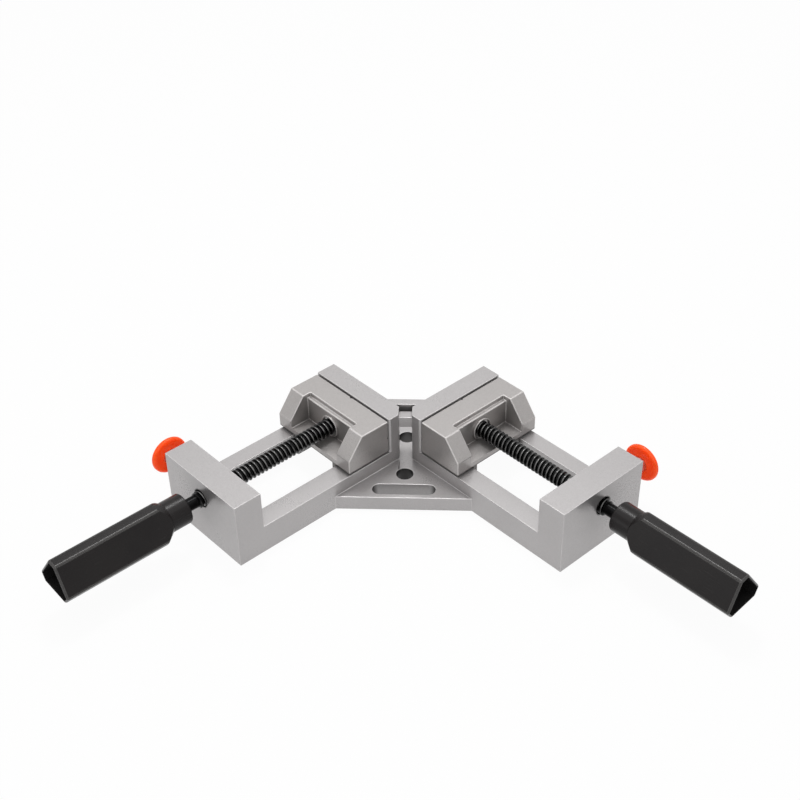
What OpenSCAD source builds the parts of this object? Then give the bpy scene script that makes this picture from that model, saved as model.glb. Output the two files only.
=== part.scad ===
// Right-angle corner clamp with two quick-release screw jaws, in millimetres.
// The origin is the corner point on the base plane, where the planes of the two clamp faces meet
// on the axis of the front bench hole. The right arm runs along +X, the left arm along -Y.

/* [Frame] */
// Width of each arm, its fixed wall and its end block
arm_w = 68; // [62:0.5:80]
// Distance from the corner point to the near side of each arm
corner_gap = 13.3; // [12:0.1:18]
// Thickness of the fixed walls
wall_t = 13.6; // [11:0.1:18]
// Height of the fixed walls and the end blocks
wall_h = 44; // [42:0.5:54]
// Radius of the upright edge at the corner end of each clamp face
nose_r = 1.5; // [1:0.1:4]
// Length of the rails from the clamp face to the end block
rail_len = 98; // [80:1:130]
// Width of each rail
rail_w = 13.6; // [11:0.1:16]
// Height of the rails
rail_h = 18.7; // [15:0.1:20]
// Inset of the far rail from the far side of the arm
rail_inset = 2.2; // [0:0.1:4]
// Thickness of the end blocks along the spindle
block_t = 18.9; // [18.5:0.1:24]

/* [Corner plate] */
// Thickness of the plate
plate_t = 9.7; // [6:0.1:14]
// Distance from the clamp face to the plate's corner along a rail
plate_reach = 45; // [42:0.5:60]
// Diameter of the two round bench holes
hole_d = 10.5; // [8:0.1:12]
// Chamfer round the bench holes and the bench slot
hole_chamfer = 0.6; // [0.3:0.1:1]
// Width of the bench slot
slot_w = 9.1; // [6:0.1:10]
// Overall length of the bench slot
slot_len = 38.5; // [24:0.5:42]
// Margin between the bench slot and the front edge of the plate
slot_margin = 3.4; // [3:0.1:5]
// Distance from the walls' rear corner to the rear bench hole
rear_hole_set = 16.7; // [15:0.1:22]
// Margin between the rear bench hole's axis and the rear edge of the plate
rear_margin = 14; // [10:0.5:24]

/* [Corner gap] */
// Width of the gap between the two fixed walls
gap_w = 8.2; // [6:0.1:11]
// Distance from the mouth of the gap to the front tie bar
tie_set = 1.6; // [0.5:0.1:4]
// Length of the front tie bar along the gap
tie_len = 6.4; // [4:0.1:7.5]
// Height of the front tie bar
tie_h = 7.5; // [5:0.1:12]
// Drop of the front tie bar below the top of the walls
tie_drop = 3.2; // [1:0.1:6]
// Distance from the walls' rear corner to the rear web
web_set = 6.1; // [5:0.1:8]
// Length of the rear web along the gap
web_len = 5.5; // [4:0.1:8]
// Height of the rear web
web_h = 10; // [6:0.5:20]

/* [Moving jaws] */
// Gap left between the clamp faces when the jaw is shut
jaw_gap = 0.7; // [0.2:0.1:3]
// Depth of a jaw at its foot
jaw_depth = 32; // [30:0.1:40]
// Depth of a jaw at its top
jaw_top_depth = 21; // [20:0.1:24]
// Depth of a jaw between its cheeks
recess_depth = 17.7; // [16:0.1:20]
// Drop of the jaw's top below the top of the walls
jaw_drop = 1; // [0.2:0.1:2]
// Height of the upright foot behind the jaw
jaw_foot_h = 9.3; // [6:0.1:12]
// Inset of the jaw's ends from the sides of the arm
jaw_inset = 0.2; // [0:0.1:1]
// Running gap between the jaw and the top of the rails
jaw_lift = 0.8; // [0.1:0.1:1.2]
// Width of the two cheeks at the ends of the jaw
cheek_w = 12; // [9:0.5:15]
// Thickness of the floor between the cheeks
jaw_floor = 4; // [3:0.1:5]
// Radius of the upright corners between cheeks and jaw
recess_r = 1.5; // [1:0.1:5]
// Depth of the step behind the jaw's top
step_d = 2.5; // [1:0.1:4]
// Height of the step behind the jaw's top
step_h = 3; // [1:0.1:5]
// Chamfer along the top of the clamp face
jaw_chamfer = 0.5; // [0.3:0.1:2]
// Depth of the crossed grooves that hold round stock
groove_cut = 1.3; // [0.5:0.1:2]
// Thickness of the boss round the thrust washer
boss_wall = 1; // [0.8:0.1:3]
// Height of the boss round the thrust washer
boss_h = 1.4; // [1:0.1:4]
// Depth of the thrust washer's cup in the boss
cup_depth = 2.2; // [1.5:0.1:3]
// Radial clearance of the thrust washer in its cup
cup_gap = 0.15; // [0.1:0.05:0.3]

/* [Jaw guides] */
// Distance from the clamp face of the jaw to its keel
keel_set = 3; // [1:0.1:5]
// Length of the keel along the rails
keel_len = 12; // [12:0.1:14]
// Inset of the guide ribs' ends from the back of the jaw
rib_inset = 0.3; // [0.2:0.1:8]
// Thickness of the guide ribs
rib_t = 3.2; // [2:0.1:5]
// Running gap between the guide ribs and the rails
keel_gap = 0.15; // [0.1:0.05:0.3]
// Height of the keeper's rebate under the rails
rebate_h = 5; // [4.5:0.1:7]
// Width of the keeper's rebate under each rail
rebate_w = 5; // [3:0.1:7]
// Thickness of the keeper plate
keeper_t = 3; // [2.5:0.1:4]
// Running gap round the keeper plate
keeper_gap = 0.2; // [0.1:0.05:0.4]
// Distance from the keeper plate's ends to the keel's ends
keeper_inset = 0.5; // [0:0.1:0.8]
// Diameter of the keeper screws
screw_d = 5; // [4:0.1:6]
// Diameter of the keeper screws' countersunk heads
screw_head_d = 9.2; // [8:0.1:11]
// Height of the keeper screws' countersunk heads
screw_head_h = 2.3; // [1.8:0.1:2.4]
// Length of the keeper screws
screw_len = 12; // [9:0.5:14]
// Distance between the two keeper screws
screw_pitch = 27; // [24:0.5:30]
// Width across the flats of the screws' sockets
socket_af = 3; // [2:0.1:3.5]
// Depth of the screws' sockets
socket_h = 1.6; // [1:0.1:2]
// Clearance round screws and pins in their holes
fastener_gap = 0.05; // [0.02:0.01:0.1]

/* [Spindles] */
// Height of the spindle axis over the base
spindle_z = 30.4; // [29:0.1:33]
// Outer diameter of the spindle's thread
spindle_d = 10.6; // [9.5:0.1:11.5]
// Clearance round the spindle in the end block
spindle_gap = 0.5; // [0.2:0.05:0.8]
// Length of thread outside the end block when the jaw is shut
thread_past = 3.6; // [2:0.1:6]
// Chamfer at the ends of the thread
thread_chamfer = 1; // [0.5:0.1:1.5]
// Diameter of the plain shank between the thread and the handle
shank_d = 7.8; // [7:0.1:9]
// Diameter of the journal that turns in the jaw
journal_d = 8; // [7:0.1:9]
// Length of the journal
journal_len = 14; // [11:0.5:16]
// Radial running clearance of the journal
journal_gap = 0.05; // [0.02:0.01:0.1]
// Room between the spindle's nose and the bottom of its bore
nose_gap = 0.5; // [0.2:0.1:1.5]
// Depth of the journal's retaining groove
ring_depth = 1.2; // [0.8:0.1:1.5]
// Distance from the nose to the middle of the retaining groove
ring_set = 4; // [3:0.1:6]
// Diameter of the retaining pins
pin_d = 2.5; // [2:0.1:3]
// Length of the retaining pins
pin_len = 14; // [10:0.5:18]
// Clearance between the retaining pins and the groove
pin_gap = 0.1; // [0.05:0.05:0.3]
// Outer diameter of the thrust washer
washer_d = 12.4; // [12:0.1:15]
// Thickness of the thrust washer
washer_t = 1; // [0.8:0.1:2]
// Axial play of the spindle at the thrust washer
thrust_gap = 0.05; // [0.02:0.01:0.2]

/* [Handles] */
// Distance from the end block to the handle when the jaw is shut
handle_stand = 12.1; // [8:0.1:16]
// Overall length of a handle
handle_len = 86; // [70:0.5:120]
// Diameter of the round ferrule
ferrule_d = 19; // [16:0.1:21]
// Length of the round ferrule
ferrule_len = 13; // [10:0.5:20]
// Length of the shoulder between ferrule and grip
shoulder_len = 11.5; // [5:0.5:16]
// Distance from the axis to the three broad flats
flat_r = 9.8; // [9.6:0.1:12]
// Distance from the axis to the three narrow flats
edge_r = 13.8; // [12.5:0.1:16]
// Turn of the handle about the spindle, in degrees
handle_turn = 7; // [-60:1:60]
// Thickness of the hollow grip's wall
grip_wall = 2; // [1.5:0.1:3]
// Depth of the shank's round seat in the ferrule
seat_len = 4; // [2:0.5:8]
// Width of the spindle's square tang
tang_w = 5.4; // [5:0.1:6]
// Length of the tang
tang_len = 18; // [17:0.5:22]
// Thickness of the handle's wall under the handle screw
handle_web = 3; // [2:0.1:5]
// Clearance round the shank and the tang in the handle
handle_gap = 0.05; // [0.02:0.01:0.2]
// Diameter of the handle screw
handle_screw_d = 3.6; // [3:0.1:4]
// Length of the handle screw
handle_screw_len = 14; // [10:0.5:18]
// Diameter of the handle screw's head
handle_head_d = 8; // [7:0.1:10]
// Height of the handle screw's head
handle_head_h = 2.8; // [2:0.1:4]

/* [Quick release] */
// Diameter of the half nut's plunger
plunger_d = 15; // [14.6:0.1:15.6]
// Radial sliding clearance of the plunger
plunger_gap = 0.04; // [0.01:0.01:0.05]
// Radial clearance between the half nut and the spindle
nut_gap = 0.05; // [0.03:0.01:0.1]
// Free room past the spindle that lets the half nut clear the thread
nut_room = 4.4; // [4.2:0.1:6]
// Solid end of the plunger behind the half nut
plunger_end = 6; // [5:0.1:9]
// Room for the spring behind the plunger
spring_room = 12; // [9:0.5:14]
// Depth of the spring's pocket in the plunger
spring_pocket = 2; // [1:0.1:3]
// Outer diameter of the spring
spring_d = 9.6; // [7:0.1:11]
// Diameter of the spring's wire
spring_wire = 1.2; // [0.8:0.1:1.4]
// Number of coils in the spring
spring_turns = 5; // [3:1:6]
// Clearance round the spring in its pocket
spring_gap = 0.3; // [0.1:0.1:0.6]
// Depth of the plunger's shoulder inside the end block
neck_set = 0.5; // [0.2:0.1:2]
// Diameter of the plunger's neck between the end block and the button
neck_d = 10; // [8:0.1:12]
// Diameter of the push button
button_d = 24; // [20:0.1:28]
// Height of the button's upright rim
button_rim = 2.8; // [2:0.1:5]
// Chamfer under the button's rim
button_chamfer = 1.6; // [0.5:0.1:1.8]
// Height of the button's dome over its rim
button_dome = 4.4; // [3:0.1:8]
// Gap between the button and the end block
button_gap = 9.7; // [6:0.1:12]
// Diameter of the plunger's stud in the button
stud_d = 6; // [4:0.1:7]
// Length of the plunger's stud in the button
stud_len = 4.4; // [3:0.1:4.6]

/* [Hidden] */
$fn = 64;
// Overlap of joined solids and overshoot of cuts
eps = 1;
// Arm places
near_y = corner_gap;
far_y = near_y + arm_w;
axis_y = near_y + arm_w / 2;
window_w = arm_w - 2 * rail_w;
block_out = rail_len + block_t;
release_x = rail_len + block_t / 2;
// Places along the diagonal, measured backwards from the corner point
plate_front = -(plate_reach - corner_gap) / sqrt(2);
gap_mouth = sqrt(2) * corner_gap - gap_w / 2;
wall_corner = sqrt(2) * wall_t;
tie_front = gap_mouth + tie_set;
web_front = wall_corner + web_set;
web_rear = web_front + web_len;
rear_hole_s = wall_corner + rear_hole_set;
plate_rear = rear_hole_s + rear_margin;
slot_s = plate_front + slot_margin + slot_w / 2;
// Jaw places
jaw_front = jaw_gap;
jaw_shoulder = jaw_front + jaw_top_depth;
jaw_wall = jaw_front + recess_depth;
jaw_back = jaw_front + jaw_depth;
jaw_foot = rail_h + jaw_lift;
jaw_top = wall_h - jaw_drop;
jaw_near = near_y + jaw_inset;
jaw_w = arm_w - 2 * jaw_inset;
recess_w = jaw_w - 2 * cheek_w;
recess_near = jaw_near + cheek_w;
keel_front = jaw_front + keel_set;
keel_foot = rebate_h - keeper_gap;
rib_len = jaw_back - rib_inset - keel_front;
cup_d = washer_d + 2 * cup_gap;
keeper_front = keel_front + keeper_inset;
keeper_len = keel_len - 2 * keeper_inset;
keeper_w = window_w + 2 * (rebate_w - keeper_gap);
keeper_foot = keel_foot - keeper_t;
screw_x = keeper_front + keeper_len / 2;
// Spindle places
boss_face = jaw_wall + boss_h;
thrust_seat = boss_face - cup_depth;
spindle_nose = thrust_seat - journal_len;
spindle_step = thrust_seat + washer_t + thrust_gap;
thread_end = block_out + thread_past;
ring_x = spindle_nose + ring_set;
ring_r = journal_d / 2 - ring_depth;
ring_w = pin_d + 2 * pin_gap;
pin_y = ring_r + pin_gap + pin_d / 2;
// Handle places
handle_front = block_out + handle_stand;
handle_end = handle_front + handle_len;
shank_end = handle_front + seat_len;
tang_end = shank_end + tang_len;
hollow_front = tang_end + handle_web;
// Quick release places, across the arm
plunger_in = axis_y - spindle_d / 2 - nut_gap - plunger_end;
plunger_face = far_y - neck_set;
plunger_out = far_y + button_gap;
spring_seat = plunger_in - spring_room;
spring_top = plunger_in + spring_pocket;

// Placing helpers

// Carries a piece of the right arm over to the left arm
module to_left() {
    mirror([1, 1, 0]) children();
}

// Draws a piece on both arms
module both_arms() {
    children();
    to_left() children();
}

// Turns +X to point backwards along the diagonal of the corner
module on_diagonal() {
    rotate([0, 0, 135]) children();
}

// Turns +Z to point outwards along the spindle axis
module on_spindle() {
    translate([0, axis_y, spindle_z]) rotate([0, 90, 0]) children();
}

// Turns +Z to point across the end block towards the button
module on_release() {
    translate([release_x, 0, spindle_z]) rotate([-90, 0, 0]) children();
}

// A plain round bar or bore from one place to another along +Z
module bar(d, from, to) {
    translate([0, 0, from]) cylinder(d = d, h = to - from);
}

// Frame casting

// Plan of a fixed wall, with its upright edge at the corner rounded
module wall_plan() {
    difference() {
        translate([-wall_t, near_y]) square([wall_t, arm_w]);
        translate([-nose_r, near_y]) square(nose_r);
    }
    translate([-nose_r, near_y + nose_r]) circle(nose_r);
}

// Plan of an arm's base, with the window between its rails
module rail_plan() {
    difference() {
        translate([-wall_t, near_y]) square([wall_t + block_out, arm_w]);
        translate([0, near_y + rail_w]) square([rail_len, window_w]);
        translate([0, far_y - rail_inset]) square([rail_len, rail_inset + eps]);
    }
}

// One arm: fixed wall, rails and end block
module arm_blank() {
    linear_extrude(wall_h) wall_plan();
    linear_extrude(rail_h) rail_plan();
    translate([rail_len, near_y, 0]) cube([block_t, arm_w, wall_h]);
}

// Cuts in one arm: keeper rebates, spindle bore and plunger bore
module arm_cuts() {
    translate([0, near_y + rail_w - rebate_w, -eps])
        cube([rail_len, window_w + 2 * rebate_w, rebate_h + eps]);
    on_spindle() bar(spindle_d + 2 * spindle_gap, rail_len - eps, block_out + eps);
    on_release() bar(plunger_d + 2 * plunger_gap, spring_seat, far_y + eps);
}

// Plate that joins the arms in front of the walls, under the gap and behind them
module corner_plate() {
    rear_side = sqrt(2) * plate_rear - wall_t;
    linear_extrude(plate_t)
        polygon([[plate_reach, near_y], [plate_reach, near_y + eps], [-wall_t / 2, near_y + eps],
                 [-wall_t / 2, rear_side], [-wall_t, rear_side], [-rear_side, wall_t],
                 [-rear_side, wall_t / 2], [-near_y - eps, wall_t / 2],
                 [-near_y - eps, -plate_reach], [-near_y, -plate_reach]]);
}

// Gap between the walls
module wall_gap() {
    on_diagonal() translate([0, -gap_w / 2, -eps]) cube([web_rear, gap_w, wall_h + 2 * eps]);
}

// Low tie bar across the mouth of the gap
module tie_bar() {
    on_diagonal() translate([tie_front, -gap_w / 2 - eps, wall_h - tie_drop - tie_h])
        cube([tie_len, gap_w + 2 * eps, tie_h]);
}

// Web across the rear of the gap, between the backs of the walls
module rear_web() {
    front_half = web_set + eps;
    rear_half = web_set + web_len + eps;
    on_diagonal() translate([0, 0, wall_h - web_h]) linear_extrude(web_h)
        polygon([[web_front, -front_half], [web_rear, -rear_half],
                 [web_rear, rear_half], [web_front, front_half]]);
}

// Round bench hole with a chamfered rim
module bench_hole() {
    bar(hole_d, -eps, plate_t + eps);
    translate([0, 0, plate_t - hole_chamfer])
        cylinder(d1 = hole_d, d2 = hole_d + 4 * hole_chamfer, h = 2 * hole_chamfer);
}

// Bench slot along the front edge of the plate, with a chamfered rim
module bench_slot() {
    run = slot_len - slot_w;
    lip = slot_w / 2 + 2 * hole_chamfer;
    translate([0, 0, -eps]) linear_extrude(plate_t + 2 * eps) square([slot_w, run], center = true);
    translate([0, run / 2, plate_t - hole_chamfer]) rotate([90, 0, 0]) linear_extrude(run)
        polygon([[-slot_w / 2, 0], [slot_w / 2, 0], [lip, 2 * hole_chamfer], [-lip, 2 * hole_chamfer]]);
    for (side = [-1, 1]) translate([0, side * run / 2, 0]) {
        bar(slot_w, -eps, plate_t + eps);
        translate([0, 0, plate_t - hole_chamfer])
            cylinder(d1 = slot_w, d2 = 2 * lip, h = 2 * hole_chamfer);
    }
}

module frame_casting() {
    color([0.72, 0.71, 0.7]) difference() {
        union() {
            difference() {
                both_arms() arm_blank();
                wall_gap();
            }
            corner_plate();
            tie_bar();
            rear_web();
        }
        both_arms() arm_cuts();
        bench_hole();
        on_diagonal() {
            translate([rear_hole_s, 0, 0]) bench_hole();
            translate([slot_s, 0, 0]) bench_slot();
        }
    }
}

// Moving jaws

// Side profile of a jaw over its full width
module jaw_blank() {
    translate([0, jaw_near + jaw_w, 0]) rotate([90, 0, 0]) linear_extrude(jaw_w)
        polygon([[jaw_front, jaw_foot], [jaw_back, jaw_foot], [jaw_back, jaw_foot + jaw_foot_h],
                 [jaw_shoulder, jaw_top], [jaw_front + jaw_chamfer, jaw_top],
                 [jaw_front, jaw_top - jaw_chamfer]]);
}

// Plan of the space between the cheeks, open at the back
module recess_plan(front) {
    translate([front + recess_r, recess_near]) square([jaw_depth, recess_w]);
    translate([front, recess_near + recess_r]) square([2 * recess_r, recess_w - 2 * recess_r]);
    for (y = [recess_near + recess_r, recess_near + recess_w - recess_r])
        translate([front + recess_r, y]) circle(recess_r);
}

// Right-angled groove that opens towards -X
module stock_groove(len) {
    linear_extrude(len)
        polygon([[-eps, -groove_cut - eps], [groove_cut, 0], [-eps, groove_cut + eps]]);
}

// Crossed grooves in the clamp face, upright at mid width and level with the spindle
module stock_grooves() {
    translate([jaw_front, axis_y, jaw_foot - eps]) stock_groove(wall_h);
    translate([jaw_front, jaw_near + jaw_w + eps, spindle_z]) rotate([90, 0, 0])
        stock_groove(jaw_w + 2 * eps);
}

// Keel with two longer guide ribs, which run between the rails
module jaw_keel() {
    keel_h = jaw_foot - keel_foot + eps;
    keel_w = window_w - 2 * keel_gap;
    translate([keel_front, axis_y - keel_w / 2, keel_foot]) {
        cube([keel_len, keel_w, keel_h]);
        cube([rib_len, rib_t, keel_h]);
        translate([0, keel_w - rib_t, 0]) cube([rib_len, rib_t, keel_h]);
    }
}

module moving_jaw() {
    color([0.7, 0.685, 0.665]) difference() {
        union() {
            difference() {
                jaw_blank();
                translate([0, 0, jaw_foot + jaw_floor]) linear_extrude(wall_h) recess_plan(jaw_wall);
                translate([0, 0, jaw_top - step_h]) linear_extrude(wall_h) recess_plan(jaw_wall - step_d);
            }
            jaw_keel();
            on_spindle() bar(cup_d + 2 * boss_wall, jaw_wall - eps, boss_face);
        }
        stock_grooves();
        on_spindle() {
            bar(journal_d + 2 * journal_gap, spindle_nose - nose_gap, boss_face);
            bar(cup_d, thrust_seat, boss_face + eps);
        }
        pin_places() bar(pin_d + 2 * fastener_gap, keel_foot - eps, spindle_z + pin_len / 2);
        screw_places() bar(screw_d + 2 * fastener_gap, keeper_foot, keeper_foot + screw_len + eps);
    }
}

// Places of the two retaining pins beside the journal
module pin_places() {
    for (side = [-1, 1]) translate([ring_x, axis_y + side * pin_y, 0]) children();
}

// Places of the two keeper screws under the keel
module screw_places() {
    for (side = [-1, 1]) translate([screw_x, axis_y + side * screw_pitch / 2, 0]) children();
}

module jaw_keeper_plate() {
    color([0.55, 0.56, 0.58]) difference() {
        translate([keeper_front, axis_y - keeper_w / 2, keeper_foot])
            cube([keeper_len, keeper_w, keeper_t]);
        screw_places() {
            bar(screw_d + 2 * fastener_gap, keeper_foot - eps, keel_foot + eps);
            translate([0, 0, keeper_foot]) screw_head(2 * fastener_gap);
        }
    }
}

// Countersunk head, widened by a clearance where it is cut away
module screw_head(gap) {
    cylinder(d1 = screw_head_d + gap, d2 = screw_d + gap, h = screw_head_h);
    translate([0, 0, -gap]) cylinder(d = screw_head_d + gap, h = gap);
}

module keeper_screws() {
    color([0.35, 0.35, 0.37]) screw_places() translate([0, 0, keeper_foot]) difference() {
        union() {
            cylinder(d1 = screw_head_d, d2 = screw_d, h = screw_head_h);
            bar(screw_d, screw_head_h - eps, screw_len);
        }
        translate([0, 0, -eps]) cylinder(d = socket_af / cos(30), h = socket_h + eps, $fn = 6);
    }
}

module spindle_pins() {
    color([0.6, 0.6, 0.62]) pin_places()
        bar(pin_d, spindle_z - pin_len / 2, spindle_z + pin_len / 2);
}

module thrust_washer() {
    color([0.75, 0.75, 0.76]) on_spindle() difference() {
        bar(washer_d, thrust_seat, thrust_seat + washer_t);
        bar(journal_d + 2 * journal_gap, thrust_seat - eps, thrust_seat + washer_t + eps);
    }
}

// Spindles and handles

// Outline of the spindle's round part, as radius and place along the axis
module spindle_profile() {
    thread_r = spindle_d / 2;
    journal_r = journal_d / 2;
    polygon([[0, spindle_nose], [journal_r, spindle_nose],
             [journal_r, ring_x - ring_w / 2], [ring_r, ring_x - ring_w / 2],
             [ring_r, ring_x + ring_w / 2], [journal_r, ring_x + ring_w / 2],
             [journal_r, spindle_step], [thread_r - thread_chamfer, spindle_step],
             [thread_r, spindle_step + thread_chamfer], [thread_r, thread_end - thread_chamfer],
             [thread_r - thread_chamfer, thread_end], [shank_d / 2, thread_end],
             [shank_d / 2, shank_end], [0, shank_end]]);
}

module spindle() {
    color([0.09, 0.09, 0.1]) on_spindle() difference() {
        union() {
            rotate_extrude() spindle_profile();
            translate([-tang_w / 2, -tang_w / 2, shank_end - eps])
                cube([tang_w, tang_w, tang_len + eps]);
        }
        bar(handle_screw_d + 2 * fastener_gap, hollow_front - handle_screw_len - eps, tang_end + eps);
    }
}

// Corner between two flats of a trimmed triangle, the first facing angle a, the second 60 degrees on
function flat_corner(a, d1, d2) =
    [(d1 * sin(a + 60) - d2 * sin(a)) / sin(60), (d2 * cos(a) - d1 * cos(a + 60)) / sin(60)];

// Triangle with three broad flats and three narrow flats in place of its corners
function trimmed_triangle(broad, narrow) =
    [for (i = [0:5]) i % 2 == 0 ? flat_corner(60 * i, broad, narrow) : flat_corner(60 * i, narrow, broad)];

// Round envelope that rolls the three-sided grip into the ferrule
module grip_envelope() {
    shoulder_r = edge_r + ferrule_d / 2;
    rotate_extrude()
        polygon([[0, handle_front + ferrule_len - eps], [ferrule_d / 2, handle_front + ferrule_len],
                 [shoulder_r, handle_front + ferrule_len + shoulder_len * shoulder_r / edge_r],
                 [shoulder_r, handle_end], [0, handle_end]]);
}

module handle_grip() {
    color([0.1, 0.1, 0.1]) on_spindle() difference() {
        union() {
            bar(ferrule_d, handle_front, handle_front + ferrule_len + eps);
            intersection() {
                rotate([0, 0, handle_turn]) translate([0, 0, handle_front])
                    linear_extrude(handle_len) polygon(trimmed_triangle(flat_r, edge_r));
                grip_envelope();
            }
        }
        rotate([0, 0, handle_turn]) translate([0, 0, hollow_front])
            linear_extrude(handle_len) polygon(trimmed_triangle(flat_r - grip_wall, edge_r - grip_wall));
        bar(shank_d + 2 * handle_gap, handle_front - eps, shank_end);
        tang_slot = tang_w + 2 * handle_gap;
        translate([-tang_slot / 2, -tang_slot / 2, shank_end - eps])
            cube([tang_slot, tang_slot, tang_len + eps]);
        bar(handle_screw_d + 2 * fastener_gap, handle_front, hollow_front + eps);
    }
}

module handle_screw() {
    color([0.5, 0.5, 0.52]) on_spindle() difference() {
        union() {
            bar(handle_screw_d, hollow_front - handle_screw_len, hollow_front + eps);
            bar(handle_head_d, hollow_front, hollow_front + handle_head_h);
        }
        translate([0, 0, hollow_front + handle_head_h - socket_h])
            cylinder(d = socket_af / cos(30), h = socket_h + eps, $fn = 6);
    }
}

// Quick release

// Plunger whose cross slot carries the half nut on the side of the spring
module half_nut() {
    slot_d = spindle_d + 2 * nut_gap;
    color([0.62, 0.6, 0.56]) difference() {
        on_release() {
            bar(plunger_d, plunger_in, plunger_face);
            bar(neck_d, plunger_face - eps, plunger_out);
            bar(stud_d, plunger_out - eps, plunger_out + stud_len);
        }
        on_spindle() translate([0, 0, rail_len]) linear_extrude(block_t) {
            circle(d = slot_d);
            translate([-slot_d / 2, 0]) square([slot_d, nut_room]);
            translate([0, nut_room]) circle(d = slot_d);
        }
        on_release() bar(spring_d + 2 * spring_gap, plunger_in - eps, spring_top);
    }
}

// Outline of the button's rim, as radius and place along the plunger
module button_profile() {
    button_r = button_d / 2;
    polygon([[0, plunger_out], [button_r - button_chamfer, plunger_out],
             [button_r, plunger_out + button_chamfer], [button_r, plunger_out + button_rim],
             [0, plunger_out + button_rim]]);
}

module release_button() {
    dome_r = (pow(button_d / 2, 2) + pow(button_dome, 2)) / (2 * button_dome);
    rim = plunger_out + button_rim;
    color([0.98, 0.31, 0.07]) on_release() difference() {
        union() {
            rotate_extrude() button_profile();
            intersection() {
                translate([0, 0, rim + button_dome - dome_r]) sphere(dome_r);
                bar(button_d, rim - eps, rim + button_dome + eps);
            }
        }
        bar(stud_d + 2 * fastener_gap, plunger_out - eps, plunger_out + stud_len + fastener_gap);
    }
}

// Coil spring between the bottom of the plunger's bore and its pocket
module release_spring() {
    sides = 6;
    steps = 12 * spring_turns;
    coil_r = (spring_d - spring_wire) / 2;
    first = spring_seat + spring_wire / 2;
    last = spring_top - spring_wire / 2;
    rings = [for (i = [0:steps], k = [0:sides - 1])
        let (a = 360 * spring_turns * i / steps, b = 360 * k / sides,
             r = coil_r + spring_wire / 2 * cos(b))
        [r * cos(a), r * sin(a), first + (last - first) * i / steps + spring_wire / 2 * sin(b)]];
    walls = [for (i = [0:steps - 1], k = [0:sides - 1])
        let (n = (k + 1) % sides)
        [i * sides + k, i * sides + n, (i + 1) * sides + n, (i + 1) * sides + k]];
    start_cap = [for (k = [0:sides - 1]) sides - 1 - k];
    end_cap = [for (k = [0:sides - 1]) steps * sides + k];
    color([0.6, 0.6, 0.62]) on_release()
        polyhedron(points = rings, faces = concat(walls, [start_cap], [end_cap]));
}

frame_casting();
moving_jaw();  // right_moving_jaw
to_left() moving_jaw();  // left_moving_jaw
jaw_keeper_plate();  // right_jaw_keeper_plate
to_left() jaw_keeper_plate();  // left_jaw_keeper_plate
keeper_screws();  // right_keeper_screws
to_left() keeper_screws();  // left_keeper_screws
spindle();  // right_spindle
to_left() spindle();  // left_spindle
spindle_pins();  // right_spindle_pins
to_left() spindle_pins();  // left_spindle_pins
thrust_washer();  // right_thrust_washer
to_left() thrust_washer();  // left_thrust_washer
handle_grip();  // right_handle_grip
to_left() handle_grip();  // left_handle_grip
handle_screw();  // right_handle_screw
to_left() handle_screw();  // left_handle_screw
half_nut();  // right_half_nut
to_left() half_nut();  // left_half_nut
release_button();  // right_release_button
to_left() release_button();  // left_release_button
release_spring();  // right_release_spring
to_left() release_spring();  // left_release_spring
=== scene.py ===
"""Looks of the right-angle corner clamp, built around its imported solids.

Sizes are in metres, in the frame of the solids: the origin is the corner point on the base plane,
the right arm runs along +X and the left arm along -Y.
"""

import logging
import math
from dataclasses import dataclass, field, replace
from enum import Enum
from typing import Any, Callable, Sequence

import bpy
from mathutils import Matrix, Vector


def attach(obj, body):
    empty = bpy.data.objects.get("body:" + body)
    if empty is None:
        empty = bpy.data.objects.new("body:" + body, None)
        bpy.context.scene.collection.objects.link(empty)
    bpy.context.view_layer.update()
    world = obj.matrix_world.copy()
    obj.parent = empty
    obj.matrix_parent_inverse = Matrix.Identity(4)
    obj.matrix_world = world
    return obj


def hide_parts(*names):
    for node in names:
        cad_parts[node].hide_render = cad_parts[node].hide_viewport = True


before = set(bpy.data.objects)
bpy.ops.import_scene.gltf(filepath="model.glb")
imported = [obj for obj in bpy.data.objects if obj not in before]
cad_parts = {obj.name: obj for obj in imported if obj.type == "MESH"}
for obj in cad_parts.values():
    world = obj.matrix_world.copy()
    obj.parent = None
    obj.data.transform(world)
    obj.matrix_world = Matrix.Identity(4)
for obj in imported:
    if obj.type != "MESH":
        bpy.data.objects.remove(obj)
LOG = logging.getLogger("corner_clamp")
TO_LEFT = Matrix(((0.0, -1.0, 0.0), (-1.0, 0.0, 0.0), (0.0, 0.0, 1.0))).to_4x4()
DIAGONAL = Matrix.Rotation(math.radians(135.0), 4, "Z")
BACKWARDS = (-math.sqrt(0.5), math.sqrt(0.5), 0.0)
ACROSS = (-math.sqrt(0.5), -math.sqrt(0.5), 0.0)
NEAR = 1e-5
FLUSH = 1e-6
WHITE = (1.0, 1.0, 1.0, 1.0)
Colour = tuple[float, float, float]
Place = tuple[float, float, float]


class Side(Enum):
    """The two arms of the clamp."""

    LEFT = "left"
    RIGHT = "right"

    def carry(self, piece: bpy.types.Object) -> bpy.types.Object:
        """Mirrors a piece of the right arm over the diagonal if this is the left arm."""
        return piece if self is Side.RIGHT else set_down(piece, TO_LEFT)

    def over(self, place: Place) -> Place:
        """Mirrors a place on the right arm over the diagonal if this is the left arm."""
        return place if self is Side.RIGHT else (-place[1], -place[0], place[2])


# Shader maths


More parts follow.
